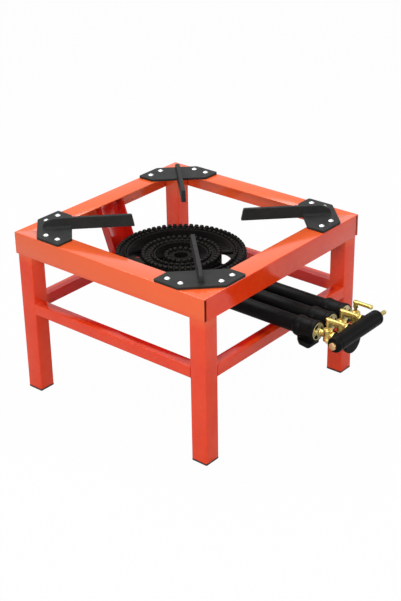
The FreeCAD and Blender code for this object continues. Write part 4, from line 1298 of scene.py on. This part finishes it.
@dataclass
class RearBracket:
    """Folded channel that hangs from the rear rail and carries the burner's ear."""

    width: float = 54.0
    sheet: float = 2.0
    depth: float = 15.0     # width of the wings
    tongue: float = 36.0    # length of the flat end under the ear
    toe: float = 145.4      # where the wings' lower corners end
    foot: Point2 = (EAR_END + 6.5, TUBE_AXIS - 2.0)
    head: Point2 = (189.5, FRAME_TOP - 2.0)

    def front(self, depth: float, height: float) -> Point2:
        """The point at a height on the plane that lies depth in front of the web's back."""
        run, rise = self.head[0] - self.foot[0], self.head[1] - self.foot[1]
        long = math.hypot(run, rise)
        return (self.foot[0] + (height - self.foot[1]) * run / rise - depth * long / rise, height)

    def build(self) -> None:
        """Makes and fits the bracket."""
        inner = self.width / 2.0 - self.sheet
        low, top = self.foot[1], self.head[1]
        tip = self.foot[0] - self.tongue
        strip = rounded([(tip, low), self.foot, self.head, self.front(self.sheet, top),
                         self.front(self.sheet, low + self.sheet), (tip, low + self.sheet)],
                        (0.4, 3.2, 0.3, 0.3, 1.2, 0.4), 5)
        body = Workpiece.plate("rear_bracket_sheet", strip, Plane.SIDE, -inner, 2.0 * inner)
        notch = low + 2.0 * self.sheet
        wing = rounded([self.front(0.0, notch), self.head, self.front(self.depth, top),
                        self.front(self.depth, low + 5.6), (self.toe, notch)],
                       (0.5, 0.3, 0.3, 4.0, 1.0), 4)
        for at in (-self.width / 2.0, inner):
            body.take(Workpiece.plate("wing", wing, Plane.SIDE, at, self.sheet))
        body.cut(Workpiece.plate("drill", circle(4.4, (0.0, EAR_BOLT), 32), Plane.PLAN,
                                 low - 1.0, 4.0))
        body.bevel(0.8, 3, 50.0)
        body.smooth(35.0)
        body.fit(STAND, Slot.RED, RED_ENAMEL, "burner_bracket")


@dataclass
class Fasteners:
    """Hexagon bolts and nuts."""

    @staticmethod
    def hex_head(name: str, across: float, plane: Plane, centre: Point2, at: float,
                 height: float) -> Workpiece:
        """A hexagon head or nut with a small chamfer."""
        head = Workpiece.plate(name, hexagon(across, centre, 30.0), plane, at, height)
        head.bevel(min(0.6, height * 0.2), 2, 50.0)
        return head

    def build(self) -> None:
        """Makes and fits the bolts."""
        spot = (0.0, EAR_BOLT)
        bolt = self.hex_head("bracket_bolt_set", 13.0, Plane.PLAN, spot, TUBE_AXIS + 8.0, 5.3)
        bolt.take(self.hex_head("nut", 13.0, Plane.PLAN, spot, TUBE_AXIS - 8.5, 6.5),
                  Workpiece.turned("shank", [(0.0, 8.5), (4.0, 8.5), (4.0, -10.0), (3.4, -10.5),
                                             (0.0, -10.5)], (0.0, EAR_BOLT, TUBE_AXIS),
                                   Direction.Z, 32))
        bolt.smooth(35.0)
        bolt.fit(STAND, Slot.ZINC, ZINC_BOLT, "bracket_bolt")
        under = BAR_TOP - BAR
        foot = self.hex_head("foot_bolt_head", 10.0, Plane.PLAN, (0.0, FOOT_BOLT),
                             under - 4.0, 4.0)
        foot.take(Workpiece.turned("shank", [(0.0, -1.0), (3.0, -1.0), (3.0, 31.0), (0.0, 31.0)],
                                   (0.0, FOOT_BOLT, under), Direction.Z, 28))
        foot.smooth(35.0)
        foot.fit(STAND, Slot.ZINC, ZINC_BOLT, "foot_bolt")
        arm = self.hex_head("carrier_bolt_head", 10.0, Plane.FRONT, (0.0, CARRIER_LEVEL),
                            INLET + 2.0, 4.0)
        arm.take(Workpiece.turned("shank", [(0.0, -8.5), (3.0, -8.5), (3.0, 3.0), (0.0, 3.0)],
                                  (0.0, INLET, CARRIER_LEVEL), Direction.Y, 28))
        arm.smooth(35.0)
        arm.fit(STAND, Slot.ZINC, ZINC_BOLT, "carrier_bolt")


# ---- the gas train --------------------------------------------------------------------------
@dataclass
class GasPipe:
    """The manifold with its closing plug and hose tail."""

    y: float = GAS_PIPE
    z: float = TUBE_AXIS
    radius: float = 12.5
    long: float = 120.0
    pitch: float = TUBE_PITCH

    def build(self) -> None:
        """Makes and fits the three pieces."""
        half = self.long / 2.0
        r = self.radius
        ends = [(0.0, -half), (r - 3.2, -half), (r - 1.4, -half + 0.7), (r - 0.3, -half + 2.2),
                (r, -half + 6.2), (r - 1.1, -half + 7.4), (r - 1.1, -half + 8.6),
                (r, -half + 9.8), (r, half - 9.8), (r - 1.1, half - 8.6), (r - 1.1, half - 7.4),
                (r, half - 6.2), (r - 0.3, half - 2.2), (r - 1.4, half - 0.7),
                (r - 3.2, half), (0.0, half)]
        body = Workpiece.turned("gas_pipe", ends, (0.0, self.y, self.z), Direction.X, 64)
        for x in (-self.pitch, 0.0, self.pitch):
            body.take(Workpiece.turned("boss", [(0.0, self.y), (7.5, self.y), (7.5, INLET - 0.6),
                                                (6.9, INLET), (0.0, INLET)],
                                       (x, 0.0, self.z), Direction.Y, 40))
        body.take(Workpiece.plate("tab", circle(21.0, (0.0, self.z - 18.0), 72), Plane.FRONT,
                                  self.y + 4.0, 6.0))
        body.cast(0.8, 3, 0.6)
        body.smooth(60.0)
        body.fit(STAND, Slot.BLACK, PIPE_BLACK, "manifold")
        plug = Fasteners.hex_head("pipe_plug", 11.0, Plane.SIDE, (self.y, self.z),
                                  -half - 5.0, 5.0)
        plug.take(Workpiece.turned("shank", [(0.0, -half), (5.0, -half), (5.0, -half + 6.0),
                                             (0.0, -half + 6.0)], (0.0, self.y, self.z),
                                   Direction.X, 32))
        plug.smooth(35.0)
        plug.fit(STAND, Slot.BRASS, PLUG_BRASS, "manifold_plug")
        tail = Fasteners.hex_head("hose_tail", 11.0, Plane.SIDE, (self.y, self.z), half, 3.0)
        nose = [(2.0, 3.0), (4.1, 3.0), (4.1, 3.3), (3.5, 5.0), (4.1, 5.0), (4.1, 5.3),
                (3.5, 7.0), (3.5, 19.6), (3.2, 20.4), (2.7, 21.0), (2.2, 21.0), (2.0, 20.7)]
        tail.take(Workpiece.turned("tail_nose", nose, (half, self.y, self.z), Direction.X, 36,
                                   closed=True))
        tail.smooth(35.0)
        tail.fit(STAND, Slot.BRASS, TURNED_BRASS, "hose_barb")


@dataclass
class GasCock:
    """One plug cock with its lever, injector and air shutter."""

    number: int
    x: float
    stem_y: float = COCK_AXIS
    z: float = TUBE_AXIS
    mouth: float = MOUTH
    low: float = -9.5           # ends of the tapered seat, from the tubes' axis
    high: float = 10.0
    stem: float = 26.5          # top of the stem, from the tubes' axis
    reach: float = 27.0         # from the stem to the middle of the lever's tip
    lever_low: float = 23.5
    lever_thick: float = 5.5
    lever_half: float = 3.1     # half width of its straight part
    eye: float = 4.3            # radius of its round end on the stem
    tip: float = 3.8            # radius of its other end

    def body(self) -> None:
        """The cock's body."""
        name = f"cock_{self.number}_body"
        hexa = Fasteners.hex_head(name, 14.0, Plane.FRONT, (self.x, self.z), INLET, 5.0)
        way = Workpiece.turned("way", [(0.0, -18.0), (5.0, -18.0), (5.0, -12.0), (6.0, -11.5),
                                       (6.0, -1.0), (5.5, 1.0), (5.5, 11.4), (5.0, 12.0),
                                       (0.0, 12.0)],
                               (self.x, self.stem_y, self.z), Direction.Y, 40)
        barrel = Workpiece.turned("barrel", [(3.98, -9.5), (6.9, -9.5), (7.5, -8.9),
                                             (7.5, -5.0), (7.1, -4.4), (7.1, 4.6), (7.5, 5.2),
                                             (7.5, 9.3), (6.9, 10.0), (4.9, 10.0)],
                                  (self.x, self.stem_y, self.z), Direction.Z, 44, closed=True)
        hexa.take(way, barrel)
        hexa.smooth(35.0)
        hexa.fit(STAND, Slot.BRASS, TURNED_BRASS, f"cock_body_{self.number}")

    def key(self) -> None:
        """The tapered plug, and the washer and nut below."""
        key = f"gas_key_{self.number}"
        low, high, stem = self.low, self.high, self.stem
        plug = Workpiece.turned(f"cock_{self.number}_plug", [
            (0.0, low - 5.5), (1.7, low - 5.5), (2.0, low - 5.1), (2.0, low), (3.9, low),
            (4.8, high), (4.3, high + 0.4), (2.6, high + 0.9), (2.6, stem), (0.0, stem)],
            (self.x, self.stem_y, self.z), Direction.Z, 36)
        plug.smooth(35.0)
        plug.fit(key, Slot.BRASS, TURNED_BRASS, f"cock_plug_{self.number}")
        nut = Fasteners.hex_head(f"cock_{self.number}_nut", 7.0, Plane.PLAN,
                                 (self.x, self.stem_y), self.z - 13.6, 2.8)
        nut.take(Workpiece.turned("washer", [(2.05, -10.8), (4.8, -10.8), (5.0, -10.6),
                                             (5.0, -10.0), (4.8, -9.8), (2.05, -9.8)],
                                  (self.x, self.stem_y, self.z), Direction.Z, 32, closed=True))
        nut.smooth(35.0)
        nut.fit(key, Slot.BRASS, YELLOW_ZINC, f"cock_nut_{self.number}")

    def lever(self) -> None:
        """The lever: a sleeve on the stem and a rounded bar that points forward."""
        x, y = self.x, self.stem_y
        end, half = y - self.reach, self.lever_half

        def arc(radius: float, middle: float, start: float) -> list[Point2]:
            """A round end from an angle in degrees, in ten steps of 22."""
            angles = [math.radians(start + 22.0 * k) for k in range(11)]
            return [(x + radius * math.cos(a), middle + radius * math.sin(a)) for a in angles]
        shape = [*arc(self.eye, y, -20.0), (x - half, y - 4.8), (x - half, end + 4.4),
                 *arc(self.tip, end, 160.0), (x + half, end + 4.4), (x + half, y - 4.8)]
        bar = Workpiece.plate(f"cock_{self.number}_lever", shape, Plane.PLAN,
                              self.z + self.lever_low, self.lever_thick)
        bar.bevel(1.7, 4, 50.0)
        bar.take(Workpiece.turned("sleeve", [(2.65, 17.5), (3.7, 17.5), (4.0, 17.9),
                                             (3.7, 21.0), (3.4, 24.5), (2.65, 24.5)],
                                  (x, y, self.z), Direction.Z, 36, closed=True))
        bar.smooth(60.0)
        bar.fit(f"gas_key_{self.number}", Slot.BRASS, TURNED_BRASS, f"lever_{self.number}")

    def jet(self) -> None:
        """The injector between the cock and the bell."""
        hexa = Fasteners.hex_head(f"jet_{self.number}_body", 10.0, Plane.FRONT,
                                  (self.x, self.z), OUTLET, JET_HEAD)
        nose = [(0.0, 2.0), (4.0, 2.0), (4.0, 3.6), (3.3, 3.9), (3.3, 17.4), (1.7, 19.4),
                (0.9, 19.4), (0.9, 17.0), (0.0, 17.0)]
        hexa.take(Workpiece.turned("nose", nose, (self.x, OUTLET, self.z), Direction.Y, 36))
        hexa.smooth(35.0)
        hexa.fit(STAND, Slot.BRASS, TURNED_BRASS, f"jet_{self.number}")

    def shutter(self) -> None:
        """The air shutter: a dished disc with three windows and a hub."""
        front = OUTLET + JET_HEAD + 0.3
        face = self.mouth
        back = face + 1.4
        profile = [(3.36, front), (5.2, front), (5.6, front + 0.4), (5.6, face),
                   (13.7, face), (14.0, face + 0.3), (14.0, back - 0.2), (13.8, back),
                   (3.36, back)]
        disc = Workpiece.turned(f"air_shutter_{self.number}_disc", profile,
                                (self.x, 0.0, self.z), Direction.Y, 72, closed=True)
        cut_windows(disc, self.x, face - 1.0)
        disc.bevel(0.15, 1, 50.0)
        disc.smooth(35.0)
        disc.fit(f"shutter_{self.number}", Slot.YELLOW, YELLOW_ZINC,
                 f"air_shutter_{self.number}")

    def build(self) -> None:
        """Makes and fits all of the cock's pieces."""
        self.body()
        self.key()
        self.lever()
        self.jet()
        self.shutter()


# ---- the studio -----------------------------------------------------------------------------
WHITE: Colour = (1.0, 1.0, 1.0)


@dataclass(frozen=True)
class SoftBox:
    """A large soft lamp that looks at the stand."""

    name: str
    place: Point3
    size: float
    power: float
    aim: Point3 = (0.0, -0.05, 0.18)

    def build(self) -> None:
        """Adds the lamp."""
        bpy.ops.object.light_add(type="AREA", location=self.place)
        lamp = bpy.context.object
        lamp.name = self.name
        lamp.data.shape = "SQUARE"
        lamp.data.size = self.size
        lamp.data.energy = self.power
        way = Vector(self.aim) - Vector(self.place)
        lamp.rotation_euler = way.to_track_quat("-Z", "Y").to_euler()


@dataclass(frozen=True)
class Studio:
    """Pale floor, plain soft light and the photograph's camera."""

    azimuth: float = -49.776
    elevation: float = 26.813
    roll: float = -0.993
    place: Point3 = (-1.4863, -1.2809, 1.1386)
    sensor: float = 36.0
    focal_px: float = 1301.5        # focal length in pixels of the photograph's frame
    tall_px: float = 601.0          # height of that frame
    ambient: float = 0.10       # strength of the world's light on the object
    mirrored: float = 0.75      # share of the white world that its reflections get
    floor_glow: float = 0.98    # share of the floor that the camera sees as plain white
    floor_paint: Colour = (0.55, 0.55, 0.55)
    lamps: tuple[SoftBox, ...] = (
        SoftBox("left_box", (-2.2, -0.8, 1.5), 1.9, 54.0),
        SoftBox("top_box", (0.3, 0.6, 2.3), 1.9, 50.0),
        SoftBox("front_box", (0.9, -2.2, 1.1), 1.5, 22.0),
    )

    def camera(self) -> None:
        """Puts the camera where the photograph was taken from."""
        bpy.ops.object.camera_add(location=self.place)
        camera = bpy.context.object
        turn = (Matrix.Rotation(math.radians(self.azimuth), 3, "Z")
                @ Matrix.Rotation(math.radians(90.0 - self.elevation), 3, "X")
                @ Matrix.Rotation(math.radians(self.roll), 3, "Z"))
        camera.rotation_euler = turn.to_euler()
        camera.data.sensor_width = self.sensor
        camera.data.lens = self.sensor * self.focal_px / self.tall_px
        camera.data.clip_start = 0.05
        camera.data.clip_end = 50.0
        bpy.context.scene.camera = camera

    def floor(self) -> None:
        """A pale floor that keeps a faint shadow."""
        bpy.ops.mesh.primitive_plane_add(size=12.0, location=(0.0, 0.0, 0.0))
        floor = bpy.context.object
        floor.name = "studio_floor"
        sheet = NodeSheet("studio_floor")
        seen = sheet.node("ShaderNodeLightPath", output="Is Camera Ray")
        paint = sheet.node("ShaderNodeBsdfDiffuse", inputs={"Color": self.floor_paint})
        glow = sheet.node("ShaderNodeEmission", inputs={"Color": WHITE, "Strength": 1.0})
        made = sheet.node("ShaderNodeMixShader",
                          inputs={0: seen * self.floor_glow, 1: paint, 2: glow})
        sheet.tree.links.new(made.socket, sheet.end.inputs["Surface"])
        floor.data.materials.append(sheet.made)

    def world(self) -> None:
        """A white background with a gentler light on the object."""
        world = bpy.data.worlds.new("studio_world")
        bpy.context.scene.world = world
        world.use_nodes = True
        tree = world.node_tree
        tree.nodes.clear()
        rays = tree.nodes.new("ShaderNodeLightPath")
        sharp = tree.nodes.new("ShaderNodeMath")
        sharp.operation = "MULTIPLY_ADD"
        sharp.inputs[1].default_value = self.mirrored
        tree.links.new(rays.outputs["Is Glossy Ray"], sharp.inputs[0])
        tree.links.new(rays.outputs["Is Camera Ray"], sharp.inputs[2])
        either = tree.nodes.new("ShaderNodeMixShader")
        tree.links.new(sharp.outputs[0], either.inputs[0])
        for place, strength in ((1, self.ambient), (2, 1.0)):
            shade = tree.nodes.new("ShaderNodeBackground")
            shade.inputs["Color"].default_value = (*WHITE, 1.0)
            shade.inputs["Strength"].default_value = strength
            tree.links.new(shade.outputs[0], either.inputs[place])
        end = tree.nodes.new("ShaderNodeOutputWorld")
        tree.links.new(either.outputs[0], end.inputs["Surface"])

    def build(self) -> None:
        """Sets the scene's view, floor, light and camera."""
        bpy.context.scene.view_settings.view_transform = "Standard"
        Workpiece.clear()
        self.floor()
        self.world()
        for lamp in self.lamps:
            lamp.build()
        self.camera()


def main() -> None:
    """Builds the studio and every piece."""
    logging.basicConfig(level=logging.INFO, format="%(message)s")
    Studio().build()
    TopFrame().build()
    LegSet().build()
    TrivetSet().build()
    RingHeads().build()
    BurnerCasting().build()
    RearBracket().build()
    Fasteners().build()
    GasPipe().build()
    for number, x in enumerate((-TUBE_PITCH, 0.0, TUBE_PITCH), start=1):
        GasCock(number, x).build()


if __name__ == "__main__":
    main()
